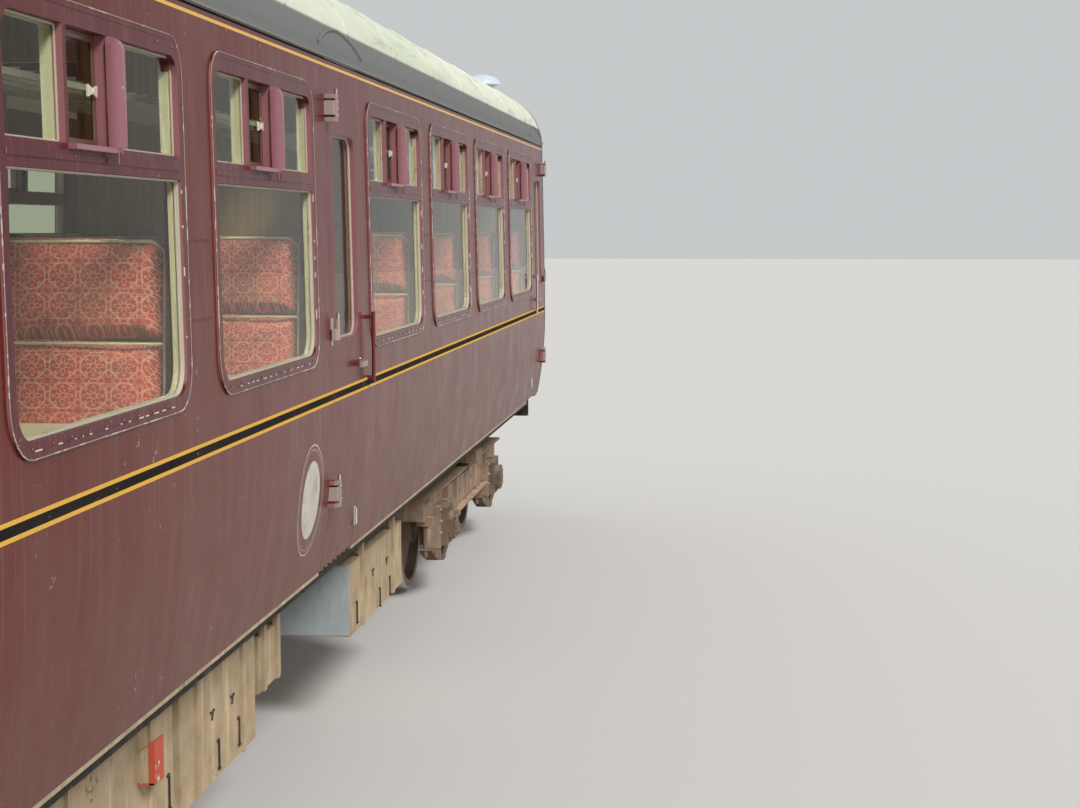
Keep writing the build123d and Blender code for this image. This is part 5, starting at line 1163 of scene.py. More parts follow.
class Host:
    """Mesh of points or runs that a pattern grows on."""

    def __init__(self) -> None:
        """Start empty."""
        self.points: list[Point] = []
        self.edges: list[tuple[int, int]] = []
        self.facing: list[float] = []
        self.turn: list[float] = []

    def stud(self, point: Point, facing: Point) -> None:
        """Add a point whose copy looks along facing."""
        self.points.append(point)
        self.facing.extend(facing)

    def spot(self, point: Point, turn: float = 0.0) -> None:
        """Add a point whose copy is turned about Z."""
        self.points.append(point)
        self.turn.append(turn)

    def run(self, points: Sequence[Point], closed: bool = False) -> None:
        """Add a run of edges through points."""
        start = len(self.points)
        self.points.extend(points)
        self.edges.extend((start + i, start + i + 1) for i in range(len(points) - 1))
        if closed:
            self.edges.append((start + len(points) - 1, start))

    def grow(
        self,
        name: str,
        tree: bpy.types.NodeTree,
        finish: Finish,
        slot: Slot,
        body: str = COACH,
        **sizes: object,
    ) -> bpy.types.Object:
        """Grow a pattern on the host and keep the result as a plain mesh.

        Args:
            name: Name of the piece.
            tree: The pattern.
            finish: Finish of the piece.
            slot: Material slot of the record; not used.
            body: CAD body that it rides on.
            **sizes: The pattern's inputs by their names.

        Returns:
            The new piece.
        """
        mesh = bpy.data.meshes.new(name + "_host")
        mesh.from_pydata(self.points, self.edges, [])
        if self.facing:
            mesh.attributes.new("facing", "FLOAT_VECTOR", "POINT").data.foreach_set("vector", self.facing)
        if self.turn:
            mesh.attributes.new("turn", "FLOAT", "POINT").data.foreach_set("value", self.turn)
        host = link(name + "_host", mesh)
        modifier = host.modifiers.new("pattern", "NODES")
        modifier.node_group = tree
        sizes["Finish"] = finish.material()
        for item in tree.interface.items_tree:
            if item.in_out == "INPUT" and item.name in sizes:
                modifier[item.identifier] = sizes[item.name]
        grown = baked(host)
        host.modifiers.remove(modifier)
        bpy.data.objects.remove(host)
        grown.name = name
        return settle(link(name, grown), body)

    def tubes(
        self, name: str, finish: Finish, slot: Slot, radius: float, sides: int, **others: object
    ) -> None:
        """Grow a tube along each run."""
        self.grow(name, PATTERNS.tubes, finish, slot, Radius=radius, Sides=sides, **others)

    def studs(
        self, name: str, finish: Finish, slot: Slot, radius: float, height: float, **others: object
    ) -> None:
        """Grow a round head on each point."""
        self.grow(name, PATTERNS.studs, finish, slot, Radius=radius, Height=height, **others)


def rounded_loop(x: float, half: float, low: float, high: float, corners: Pair, steps: int = 5) -> list[Pair]:
    """Closed (x, z) outline with its own radius at the lower and the upper corners.

    Args:
        x: Centre along the coach.
        half: Half width.
        low: Lower edge.
        high: Upper edge.
        corners: Radii of the lower and the upper corners.
        steps: Points in a quarter turn.

    Returns:
        The outline's points, anticlockwise.
    """
    foot, head = corners
    places = (
        (x + half - foot, low + foot, foot, -90),
        (x + half - head, high - head, head, 0),
        (x - half + head, high - head, head, 90),
        (x - half + foot, low + foot, foot, 180),
    )
    loop = []
    for cx, cz, radius, start in places:
        for step in range(steps + 1):
            angle = math.radians(start + 90 * step / steps)
            loop.append((cx + radius * math.cos(angle), cz + radius * math.sin(angle)))
    return loop


@dataclass
class WindowTrim:
    """Gaskets, bars, catches and screws of the windows of one side."""

    side: Side
    half: float = 0.725
    low: float = 2.000 + RAIL
    high: float = 2.665 + RAIL
    top_low: float = 2.735 + RAIL
    top_high: float = 3.040 + RAIL
    corner: float = 0.095
    glass_inset: float = 0.016
    slider_inset: float = 0.032
    slider: Pair = (0.300, 0.545)
    border: float = 0.046
    head_border: float = 0.062
    screw_pitch: float = 0.155
    seam: float = 0.026
    post: float = 0.014
    step_pitch: float = 0.10
    sill_steps: tuple[float, int] = (0.62, 13)
    head_steps: tuple[float, int] = (0.64, 14)
    pane_depth: float = 0.004
    deflector_screws: Point = (0.03, 0.145, 0.255)
    bar: float = 0.020
    bar_thick: float = 0.008

    def build(self) -> None:
        """Make every trim piece of the side."""
        name = self.side.name.lower()
        out = self.side.value
        gaskets, edges, rims, screws, chips = (Host() for _ in range(5))
        bars, ledges, reveals = (MeshMaker(out) for _ in range(3))
        for x in BAYS:
            self._gaskets(gaskets, x)
            self._slider(bars, x)
            self._screws(screws, x)
            self._ledge(ledges, x)
            self._reveals(reveals, x)
            self._chips(chips, x)
            top = self.top_high + self.head_border
            loop = rounded_loop(x, self.half + self.border, self.low - self.border, top, (0.141, 0.117), 6)
            edges.run(self.side.lay(loop, 0.0072), closed=True)
            low_steps, high_steps = self.low - self.seam, self.top_high + self.border
            for (start, count), z in ((self.sill_steps, low_steps), (self.head_steps, high_steps)):
                points = [(x - start + self.step_pitch * i, z) for i in range(count)]
                rims.run(self.side.lay(points, 0.0066))
        slot = Slot.FRAME
        gaskets.tubes(f"window_gaskets_{name}", Finishes.gasket, slot, 0.0045, 6)
        edges.tubes(f"frame_edges_{name}", Finishes.chipped, slot, 0.0022, 5)
        rims.tubes(f"frame_steps_{name}", Finishes.frames, slot, 0.0024, 5)
        bars.finish(f"slider_frames_{name}", Finishes.brown_frame, slot, 0.0015)
        screws.studs(f"frame_screws_{name}", Finishes.frames, slot, 0.0045, 0.003)
        ledges.finish(f"window_ledges_{name}", Finishes.frames, slot, 0.001)
        reveals.finish(f"window_reveals_{name}", Finishes.reveal, slot)
        chips.tubes(f"frame_chips_{name}", Finishes.cream, slot, 0.0024, 5)
        self._catches(name)

    def _along(self, x: float, share: float) -> float:
        """Place along the glass of a bay, from 0 at its left edge to 1 at its right one."""
        return x - self.half + 2 * self.half * share

    def _top_panes(self, x: float, gap: float, inset: float) -> list[Pair]:
        """Middle and half width of each fixed top pane, a gap from the slider and an inset from the frame."""
        panes = []
        for start, end in ((0.0, self.slider[0]), (self.slider[1], 1.0)):
            left = self._along(x, start) + (gap if start else inset)
            right = self._along(x, end) - (gap if end < 1 else inset)
            panes.append(((left + right) / 2, (right - left) / 2))
        return panes

    def _gaskets(self, host: Host, x: float) -> None:
        """Glazing strip round the main pane and the two fixed top panes."""
        inset = 0.003
        proud = 0.001 - self.glass_inset
        corners = (self.corner - inset, 0.006)
        loop = rounded_loop(x, self.half - inset, self.low + inset, self.high - inset, corners, 5)
        host.run(self.side.lay(loop, proud), closed=True)
        for middle, half in self._top_panes(x, 0.013, inset):
            loop = rounded_loop(middle, half, self.top_low + inset, self.top_high - inset, (0.006, 0.012), 3)
            host.run(self.side.lay(loop, proud), closed=True)

    def _reveals(self, maker: MeshMaker, x: float) -> None:
        """Cream strips round each fixed pane, behind the glass and, on the main pane, before it."""
        free, wide = 0.001, self.pane_depth
        panes = [(x, self.half - free, self.low + free, self.high - free, (self.corner, 0.006))]
        for middle, half in self._top_panes(x, self.post, free):
            panes.append((middle, half, self.top_low + free, self.top_high - free, (0.006, 0.014)))
        for index, (middle, half, low, high, corners) in enumerate(panes):
            outer = rounded_loop(middle, half, low, high, corners)
            tight = tuple(c * 0.96 for c in corners)
            inner = rounded_loop(middle, half - wide, low + wide, high - wide, tight)
            for deep, near in [(-0.055, -0.023)] if index else [(-0.040, -0.023), (-0.0155, -0.002)]:
                thick = (0.0, self.side.value * (near - deep), 0.0)
                maker.band(self.side.lay(outer, deep), self.side.lay(inner, deep), thick)

    def _chips(self, host: Host, x: float) -> None:
        """Places where the paint has gone from the edges of the frame, each a short pale run."""
        seed = random.Random(int(1000 * (x + 20)) + self.side.value)
        foot = self.low + 0.1
        for edge, high in ((-self.half - self.border, self.top_high - 0.06), (self.half + 0.001, self.high)):
            z = foot + seed.uniform(0.0, 0.1)
            while z < high:
                length = seed.uniform(0.004, 0.040)
                host.run(self.side.lay([(x + edge, z), (x + edge, min(high, z + length))], 0.0068))
                z += length + seed.uniform(0.05, 0.22)
        z = self.low - self.seam
        along = -0.62
        while along < 0.60:
            length = seed.uniform(0.006, 0.050)
            host.run(self.side.lay([(x + along, z), (x + along + length, z)], 0.0068))
            along += length + seed.uniform(0.02, 0.12)

    def _slider(self, maker: MeshMaker, x: float) -> None:
        """Brown frame of the sliding pane, set in behind the fixed ones."""
        left = self._along(x, self.slider[0]) + self.post
        right = self._along(x, self.slider[1]) - self.post
        bar, thick = self.bar, self.bar_thick
        proud = 0.004 - self.slider_inset
        for z in (self.top_low, self.top_high - bar):
            y = BODY.side_y(z + bar / 2, proud)
            maker.box((left, right), (y - thick, y), (z, z + bar))
        tall = (self.top_low, self.top_high)
        low_y, high_y = (BODY.side_y(z, proud) for z in tall)
        for start in (left, right - bar):
            for vert in maker.box((start, start + bar), (low_y - thick, low_y), tall):
                if vert.co.z > self.top_low + 0.01:
                    vert.co.y += maker.out * (high_y - low_y)

    def _screws(self, host: Host, x: float) -> None:
        """Screws along the sill, the head and the deflector of a frame."""
        out = self.side.value
        foot = BODY.side_y(self.top_low, 0.007)
        for rise in self.deflector_screws:
            spot = (self._along(x, self.slider[1]) + 0.020, out * (foot + 0.0258), self.top_low + rise)
            host.stud(spot, (0.92, out * 0.39, 0.0))
        reach = self.half - 0.09
        count = int(2 * self.half / self.screw_pitch)
        places = [(self.half - 0.05, self.top_high + 0.026), (self.half - 0.20, self.top_high + 0.030)]
        places += [(-reach + 2 * reach * index / count, self.low - 0.018) for index in range(count + 1)]
        for along, z in places:
            host.stud((x + along, out * BODY.side_y(z, 0.0075), z), (0.0, out, 0.0))

    def _ledge(self, maker: MeshMaker, x: float) -> None:
        """Raised rib along the transom and a drain stub below the sliding pane."""
        z = (self.high + self.top_low) / 2
        maker.box(span(x, self.half), span(BODY.side_y(z, 0.007), 0.004), span(z, 0.009))
        drain = self._along(x, self.slider[1]) - 0.010
        y = BODY.side_y(self.top_low - 0.02, 0.030)
        maker.rod((drain, y, self.top_low - 0.010), (drain, y, self.top_low - 0.045), 0.006, 8)

    def _catches(self, name: str) -> None:
        """Butterfly catch near the lock edge of each sliding pane."""
        maker = MeshMaker(self.side.value)
        out = maker.out
        z = (self.top_low + self.top_high) / 2
        y = BODY.side_y(z, 0.006 - self.slider_inset)
        for x in BAYS:
            at = self._along(x, self.slider[1]) - 0.062
            base = (at, out * (y - 0.004), z)
            maker.lathe(((0.009, 0.0), (0.009, 0.010), (0.006, 0.014)), base, (0.0, out, 0.0), 10)
            for way in (1, -1):
                for vert in maker.box((at, at + way * 0.038), (y, y + 0.007), span(z, 0.007)):
                    if abs(vert.co.x - at) > 0.02:
                        vert.co.z += 0.010 * (1 if vert.co.z > z else -1)
        maker.finish(f"slider_catches_{name}", Finishes.cream, Slot.FRAME, 0.001)


@dataclass
class DoorTrim:
    """Ring, reveal, bolt and screws of one side door."""

    doorway: Doorway
    side: Side
    half: float = 0.235
    low: float = 2.035 + RAIL
    high: float = 2.918 + RAIL
    corner: float = 0.075
    bolt_height: float = 1.200 + RAIL
    lock_height: float = 1.905 + RAIL

    def _loop(self, inset: float, corner: float) -> list[Pair]:
        """Outline of the drop light, some way in."""
        low, high = self.low + inset, self.high - inset
        return rounded_loop(self.doorway.centre, self.half - inset, low, high, (corner, corner), 6)

    def build(self) -> None:
        """Make the door's trim pieces."""
        body = self.doorway.body(self.side)
        x, out = self.doorway.centre, self.side.value
        ring = Host()
        ring.run(self.side.lay(self._loop(0.004, self.corner), -0.026), closed=True)
        ring.tubes(f"{body}_light_ring", Finishes.gasket, Slot.FRAME, 0.007, 6, body=body)
        for label, finish, deep, near, edge in (
            ("light_reveal", Finishes.deflector, -0.024, -0.002, 0.003),
            ("light_stile", Finishes.brown_frame, -0.046, -0.034, 0.022),
        ):
            maker = MeshMaker()
            loops = (self._loop(0.0008, self.corner), self._loop(edge, max(0.01, self.corner - edge)))
            maker.band(*(self.side.lay(loop, deep) for loop in loops), (0.0, out * (near - deep), 0.0))
            maker.finish(f"{body}_{label}", finish, Slot.FRAME, body=body)
        hinge = self.doorway.hinge_end(self.side)
        bolt = MeshMaker(out)
        at, z = x - hinge * 0.275, self.bolt_height
        y = BODY.side_y(z)
        bolt.box(span(at, 0.020), (y - 0.004, y + 0.006), span(z, 0.045))
        bolt.rod((at, y + 0.010, z - 0.040), (at, y + 0.010, z + 0.035), 0.007, 10)
        bolt.finish(f"{body}_bolt", Finishes.bright, Slot.BRIGHT, 0.001, body)
        screws = Host()
        leaf = x + hinge * (HINGE_FROM_CENTRE - 0.038)
        for z in HINGE_HEIGHTS[::2]:
            for rise in (-0.028, 0.0, 0.028):
                screws.stud((leaf, out * (BODY.half_width + 0.0205), z + rise), (0.0, out, 0.0))
        for z in span(self.lock_height, 0.020):
            screws.stud((x - hinge * 0.238, out * BODY.side_y(z, 0.001), z), (0.0, out, 0.0))
        screws.studs(f"{body}_screws", Finishes.screw, Slot.MAROON, 0.004, 0.003, body=body)


@dataclass
class SideFittings:
    """Weld lines, door hinges and rain strips on one side of the body."""

    side: Side
    pin: float = 0.020
    weld_heights: Pair = (2.223 + RAIL, 2.477 + RAIL)
    weld_half: float = 0.115
    weld_pitch: float = 0.046
    strip_half: float = 0.46

    def build(self) -> None:
        """Make the side's fittings."""
        name = self.side.name.lower()
        welds = Host()
        for saloon in (BAYS[:4], BAYS[4:]):
            for x in sorted(saloon)[1:]:
                start = x - BAY_PITCH / 2 - self.weld_half
                for z in self.weld_heights:
                    points = [
                        (start + self.weld_pitch * i, z + 0.004 * math.sin(3 * i + x)) for i in range(6)
                    ]
                    welds.run(self.side.lay(points, 0.0))
        welds.tubes(f"pillar_welds_{name}", Finishes.frames, Slot.MAROON, 0.003, 6)
        self._hinges(name)
        self._rain_strips(name)

    def _hinges(self, name: str) -> None:
        """Bright pin tops, hinge blocks, a middle hinge with its foot, and the centre door's patch plate."""
        pins, blocks, plates = (MeshMaker(self.side.value) for _ in range(3))
        pin_y = BODY.half_width + self.pin
        middle = HINGE_HEIGHTS[1]
        panel = BODY.side_y(middle) - 0.004
        for doorway in DOORWAYS:
            way = doorway.hinge_end(self.side)
            x = doorway.centre + way * HINGE_FROM_CENTRE
            for z in HINGE_HEIGHTS:
                pins.rod((x, pin_y, z + 0.052), (x, pin_y, z + 0.080), 0.0062, 10)
            leaf = sorted((x + way * 0.006, x + way * 0.042))
            blocks.box(leaf, (panel, pin_y), (middle - 0.034, middle + 0.014))
            blocks.rod((x, pin_y, middle - 0.034), (x, pin_y, middle + 0.052), 0.0095, 12)
            blocks.box(leaf, (panel, panel + 0.010), (middle - 0.058, middle + 0.060))
            leaf = sorted((x + way * 0.012, x + way * 0.040))
            for z in HINGE_HEIGHTS[::2]:
                blocks.box(leaf, (BODY.side_y(z) - 0.004, pin_y), span(z, 0.030))
            if doorway.name == "centre":
                top = HINGE_HEIGHTS[2]
                y = BODY.side_y(top)
                patch = sorted((x + way * 0.055, x + way * 0.30))
                plates.box(patch, (y - 0.004, y + 0.0015), (top - 0.035, top + 0.045))
        pins.finish(f"hinge_pins_{name}", Finishes.bright, Slot.BRIGHT, 0.0008)
        blocks.finish(f"middle_hinges_{name}", Finishes.hinge, Slot.MAROON, 0.0015)
        plates.finish(f"patch_plates_{name}", Finishes.frames, Slot.MAROON, 0.0008)

    def _rain_strips(self, name: str) -> None:
        """Curved rain strip on the roof over each door."""
        host = Host()
        for doorway in DOORWAYS:
            places = [step / 8 * 2 - 1 for step in range(9)]
            shares = [self.side.value * (0.965 - 0.055 * (1 - u * u)) for u in places]
            along = [doorway.centre + self.strip_half * u for u in places]
            host.run([(x, *BODY.roof_point(share, 0.002)) for x, share in zip(along, shares)])
        host.tubes(f"drip_strips_{name}", Finishes.roof, Slot.ROOF, 0.008, 6)


@dataclass
class Roof:
    """Roof with its ventilators and the weld seams across it."""

    seam_pitch: float = 1.228
    seams: int = 15
    steps: int = 32

    def build(self) -> None:
        """Dress the roof and make its seams."""
        dress(Finishes.roof, "roof")
        dress(Finishes.vent, "roof_ventilators")
        host = Host()
        for index in range(self.seams):
            x = (index - (self.seams - 1) / 2) * self.seam_pitch
            shares = [-0.985 + 1.97 * step / self.steps for step in range(self.steps + 1)]
            host.run([(x, *BODY.roof_point(share, 0.0005)) for share in shares])
        host.tubes("roof_seams", Finishes.roof, Slot.ROOF, 0.006, 6)


@dataclass
class Saloons:
    """Padded seats, tables, racks and lamps of both saloons."""

    gap: float = 0.014
    rake: float = 0.075
    pad: float = 0.095
    depth: float = 0.560
    board: float = 0.300
    cushion: float = 0.150
    top: float = 1.236
    crease: float = 0.918
    lean: float = 0.0566
    seat_width: float = 1.024
    wall_gap: float = 0.020
    voxel: float = 0.020
    swell: float = 0.020
    frames: int = 20
    lamp_y: float = 0.42
    other_lamps: tuple[float, ...] = (0.9, 9.2, -7.45, -8.8)
    net_z: float = 2.925 + RAIL
    net_y: Pair = (0.97, 1.25)
    net_mesh: float = 0.12
    net_runs: tuple[Pair, ...] = ((1.36, 8.77), (-6.98, 0.43))

    def build(self) -> None:
        """Make the seats and dress the rest of the inside."""
        dress(Finishes.shell, "seat_frames_left", "seat_frames_right")
        dress(Finishes.table, "tables")
        dress(Finishes.rack, "luggage_racks")
        dress(Finishes.lining, "partitions", "lavatory_walls")
        dress(Finishes.lino, "floor")
        base = BODY.floor_top + self.board
        crease = BODY.floor_top + self.crease
        heel = self.gap + self.rake + self.pad
        seat, back = (heel + 0.004, self.gap + self.depth), (self.gap + self.rake, heel)
        pads = {
            "seats": self._pad(seat, (base + 0.004, base + self.cushion), 0.0),
            "rests": self._pad(back, (base + 0.02, crease + 0.010), self.lean),
            "heads": self._pad(back, (crease - 0.012, BODY.floor_top + self.top + 0.008), self.lean),
        }
        wall = BODY.side_y(base, -BODY.wall) - self.wall_gap
        for side in Side:
            name = side.name.lower()
            middle = side.value * (wall - self.seat_width / 2)
            for label, pad in pads.items():
                host = Host()
                for boundary, facing in self._seat_places():
                    host.spot((boundary, middle, 0.0), 0.0 if facing > 0 else math.pi)
                piece = f"cushion_{label}_{name}"
                padded = host.grow(piece, PATTERNS.copies, Finishes.fabric, Slot.FABRIC, Piece=pad)
                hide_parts(f"seat_cushions_{name}")
            self._piping(name, middle, base, heel)
        for pad in pads.values():
            bpy.data.objects.remove(pad)
        self._lamps()
        self._nets()

    def _seat_places(self) -> list[tuple[float, int]]:
        """Each seat's boundary and facing, as the source places them."""
        places = []
        for start, way in SALOON_STARTS:
            for index in range(4):
                near = start + way * BAY_PITCH * index
                places.extend(((near, way), (near + way * BAY_PITCH, -way)))
        return places

    def _pad(self, x: Pair, z: Pair, lean: float) -> bpy.types.Object:
        """Stuffed pad for two people about y = 0, swollen by the cloth solver.

        Args:
            x: Its span along the coach.
            z: Its span upwards.
            lean: How far it leans back for each metre above the seat board.

        Returns:
            The pad, which still has to be copied to its places.
        """
        maker = MeshMaker()
        inset = self.swell * 0.35
        half = self.seat_width / 2 + 0.004
        maker.box((x[0] + inset * 0.3, x[1] - inset), (-half, half), (z[0], z[1] - inset))
        bmesh.ops.bevel(maker.bm, geom=maker.bm.edges[:], offset=0.018, segments=3, affect="EDGES")
        for vert in maker.bm.verts:
            vert.co.x -= lean * (vert.co.z - BODY.floor_top - self.board)
        pad = link("pad", maker.mesh("pad"))
        remesh = pad.modifiers.new("even_mesh", "REMESH")
        remesh.mode = "VOXEL"
        remesh.voxel_size = self.voxel
        self._apply(pad)
        self._swell(pad, x, z, lean)
        return pad

    def _apply(self, pad: bpy.types.Object) -> None:
        """Turn a pad's modifiers into its mesh."""
        pad.data = baked(pad)
        pad.modifiers.clear()

    def _swell(self, pad: bpy.types.Object, x: Pair, z: Pair, lean: float) -> None:
        """Blow a pad up a little between its seams: its edge near the shell and its middle line stay put.

        Args:
            pad: The pad with its even mesh.
            x: Its span along the coach.
            z: Its span upwards.
            lean: How far it leans back for each metre above the seat board.
        """
        start = [v.co.copy() for v in pad.data.vertices]
        held = pad.vertex_groups.new(name="seams")
        for index, co in enumerate(start):
            back = x[0] - lean * (co.z - BODY.floor_top - self.board)
            near = co.x < back + 0.02 if lean else co.z < z[0] + 0.02
            if abs(co.y) < 0.012 or near:
                held.add([index], 1.0, "REPLACE")
        cloth = pad.modifiers.new("stuffing", "CLOTH")
        cloth.settings.use_pressure = True
        cloth.settings.uniform_pressure_force = 6.0
        cloth.settings.effector_weights.gravity = 0.0
        cloth.settings.vertex_group_mass = "seams"
        cloth.settings.tension_stiffness = 8.0
        cloth.settings.compression_stiffness = 8.0
        cloth.point_cache.frame_start = 1
        cloth.point_cache.frame_end = self.frames
        for number in range(1, self.frames + 1):
            bpy.context.scene.frame_set(number)
        self._apply(pad)
        for vert, first in zip(pad.data.vertices, start):
            move = vert.co - first
            if move.length > self.swell:
                vert.co = first + move.normalized() * self.swell
        bpy.context.scene.frame_set(1)

    def _piping(self, name: str, middle: float, base: float, heel: float) -> None:
        """Pale piping round the top of each back rest, at its crease and along the front of each seat.

        Args:
            name: The side's name.
            middle: Middle of the seats across the coach.
            base: Height of the seat boards.
            heel: Where the rests' faces meet the cushions, from the seat's boundary.
        """
        host = Host()
        half = self.seat_width / 2 - 0.004
        top = BODY.floor_top + self.top - 0.012
        crease = heel + 0.006 - self.lean * (self.crease - self.board)
        for boundary, facing in self._seat_places():
            back = boundary + facing * (self.gap + 0.022 + self.pad * 0.86)
            foot = boundary + facing * (heel - 0.012)
            left = [(foot, -half, base + 0.16), (back, -half, top - 0.03), (back, -half + 0.04, top)]
            right = [(x, -y, z) for x, y, z in reversed(left)]
            host.run([(x, middle + y, z) for x, y, z in left + right])
            for reach, z in (
                (self.gap + self.depth - 0.004, base + self.cushion - 0.016),
                (crease, BODY.floor_top + self.crease - 0.016),
            ):
                x = boundary + facing * reach
                host.run([(x, middle - half, z), (x, middle + half, z)])
        host.tubes(f"seat_piping_{name}", Finishes.piping, Slot.FABRIC, 0.0055, 6, Bend=0.03)

    def _lamps(self) -> None:
        """Opal lamps along the ceiling."""
        maker = MeshMaker()
        rim, bowl = ((0.085, 0.0), (0.085, 0.012), (0.072, 0.020)), ((0.070, 0.050), (0.045, 0.072))
        for x in (*BAYS, *self.other_lamps):
            for y in (-self.lamp_y, self.lamp_y):
                z = BODY.roof_point(y / 1.55, -BODY.wall)[1] - 0.006
                maker.lathe((*rim, *bowl, (0.012, 0.080)), (x, y, z), (0.0, 0.0, -1.0), 16)
        maker.finish("ceiling_lamps", Finishes.lamp, Slot.LINING)

    def _nets(self) -> None:
        """Knotted net laid over the tubes of the luggage racks."""
        host = Host()
        mesh, z = self.net_mesh, self.net_z
        for side in Side:
            low, high = (side.value * y for y in self.net_y)
            for start, end in self.net_runs:
                for index in range(int((end - start) / mesh)):
                    x = start + mesh * index
                    host.run([(x, low, z), (x + mesh, high, z)])
                    host.run([(x + mesh, low, z), (x, high, z)])
        host.tubes("rack_nets", Finishes.piping, Slot.RACK, 0.0018, 3)


@dataclass
class Gangway:
    """Pleated canvas, face plate and rubbing strip at one end."""

    end: End
    half_width: float = 0.520
    low: float = 1.180 + RAIL
    high: float = 3.190 + RAIL
    wall: float = 0.150
    face: float = 10.070
    plate: float = 0.026
    rub: float = 0.006
    canvas_inset: float = 0.070
    folds: int = 7
    fold_depth: float = 0.052
    cloth: float = 0.004
    rivet_y: float = 0.485
    rivets: int = 14
    rivet_pitch: float = 0.138

    def build(self) -> None:
        """Make the gangway and its fittings."""
        name = self.end.name.lower()
        sign = self.end.value
        length = self.face - self.plate - BODY.end_x(self.half_width)
        host = Host()
        host.spot((sign * (self.face - self.plate), 0.0, (self.low + self.high) / 2))
        canvas = host.grow(
            f"gangway_canvas_{name}",
            PATTERNS.bellows,
            Finishes.canvas,
            Slot.GANGWAY,
            Width=2 * (self.half_width - self.canvas_inset),
            Height=self.high - self.low - 2 * self.canvas_inset,
            Corner=0.10,
            Length=length,
            Folds=self.folds,
            Depth=self.fold_depth,
            Tilt=(math.radians(90), 0.0, math.radians(90 * sign)),
        )
        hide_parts(f"gangway_{name}")
        runs = 2 * self.folds
        cut = runs * math.hypot(length / runs, self.fold_depth)
        solid = canvas.modifiers.new("cloth_thickness", "SOLIDIFY")
        solid.thickness = self.cloth
        solid.offset = 0.0
        self._plates(name, sign)
        dress(Finishes.lining, f"gangway_door_{name}")

    def _plates(self, name: str, sign: int) -> None:
        """Steel face plate, rubbing strip round the passage and rivets."""
        inner_half, inner_high = self.half_width - self.wall, self.high - self.wall
        rub = self.rub
        for label, finish, bevel, back, thick, outer, inner in (
            (
                "plate",
                Finishes.black_paint,
                0.002,
                self.plate,
                self.plate - rub,
                (self.half_width, self.low, self.high, (0.03, 0.12)),
                (inner_half, 1.250 + RAIL, inner_high, (0.01, 0.06)),
            ),
            (
                "rubbing_strip",
                Finishes.screw,
                0.0,
                rub,
                rub,
                (self.half_width - 0.02, self.low + 0.02, self.high - 0.02, (0.03, 0.11)),
                (self.half_width - 0.07, self.low + 0.055, self.high - 0.07, (0.02, 0.08)),
            ),
        ):
            maker = MeshMaker()
            x = sign * (self.face - back)
            loops = [[(x, y, z) for y, z in rounded_loop(0.0, *loop, 4)] for loop in (outer, inner)]
            maker.band(*loops, (sign * thick, 0.0, 0.0))
            maker.finish(f"gangway_{label}_{name}", finish, Slot.GANGWAY, bevel)
        rivets = Host()
        for y in (-self.rivet_y, self.rivet_y):
            for index in range(self.rivets):
                z = self.low + 0.12 + self.rivet_pitch * index
                rivets.stud((sign * self.face, y, z), (sign, 0.0, 0.0))
        rivets.studs(f"gangway_rivets_{name}", Finishes.screw, Slot.GANGWAY, 0.008, 0.002)


@dataclass
class EndFittings:
    """Lamp brackets, hand rails, pipes and pipe caps on one end wall."""

    end: End
    face: float = 9.665
    sunk: float = 0.004
    bracket_y: float = 0.95
    bracket_low: float = 1.62 + RAIL
    rail_y: float = 0.62
    rail_span: Pair = (1.55 + RAIL, 2.45 + RAIL)
    rail_reach: float = 0.045
    pipe_low: float = 0.80 + RAIL
    pipe_run: float = 0.6
    pipes: tuple[Point, ...] = (
        (-0.42, 0.10, 1.20),
        (0.42, 0.10, 1.20),
        (0.30, 0.06, 0.86),
        (-0.30, 0.06, 0.86),
    )

    def build(self) -> None:
        """Make the fittings of the end."""
        name = self.end.name.lower()
        sign = self.end.value
        dress(Finishes.end, f"end_{name}")
        dress(Finishes.buffer, f"buffers_{name}", f"coupler_{name}")
        brackets = MeshMaker()
        parts = ((-0.004, 0.010, 0.022, 0.16), (0.0, 0.050, 0.018, 0.012), (0.04, 0.05, 0.018, 0.11))
        z = self.bracket_low
        for y in (-self.bracket_y, self.bracket_y):
            x = BODY.end_x(y)
            for near, far, half, height in parts:
                brackets.box((sign * (x + near), sign * (x + far)), span(y, half), (z, z + height))
        brackets.finish(f"lamp_brackets_{name}", Finishes.black_paint, Slot.END, 0.001)
        rails = Host()
        low, high = self.rail_span
        for y in (-self.rail_y, self.rail_y):
            foot, x = sign * (BODY.end_x(y) - self.sunk), sign * (BODY.end_x(y) + self.rail_reach)
            rails.run([(foot, y, low), (x, y, low), (x, y, high), (foot, y, high)])
        rails.tubes(f"end_rails_{name}", Finishes.black_paint, Slot.END, 0.010, 10, Bend=0.02)
        pipes, caps = Host(), MeshMaker()
        profile = ((0.034, -0.02), (0.036, 0.0), (0.036, 0.022), (0.024, 0.034), (0.010, 0.040))
        low = self.pipe_low
        for y, reach, top in self.pipes:
            tip = (sign * (self.face + reach), y, top + RAIL)
            pipes.run([(sign * (self.face - self.pipe_run), y, low), (tip[0], y, low), tip])
            caps.lathe(profile, tip, (0.0, 0.0, 1.0), 14)
        pipes.tubes(f"end_pipes_{name}", Finishes.underframe, Slot.GRIME, 0.026, 12, Bend=0.09)
        caps.finish(f"pipe_caps_{name}", Finishes.red_paint, Slot.GRIME)


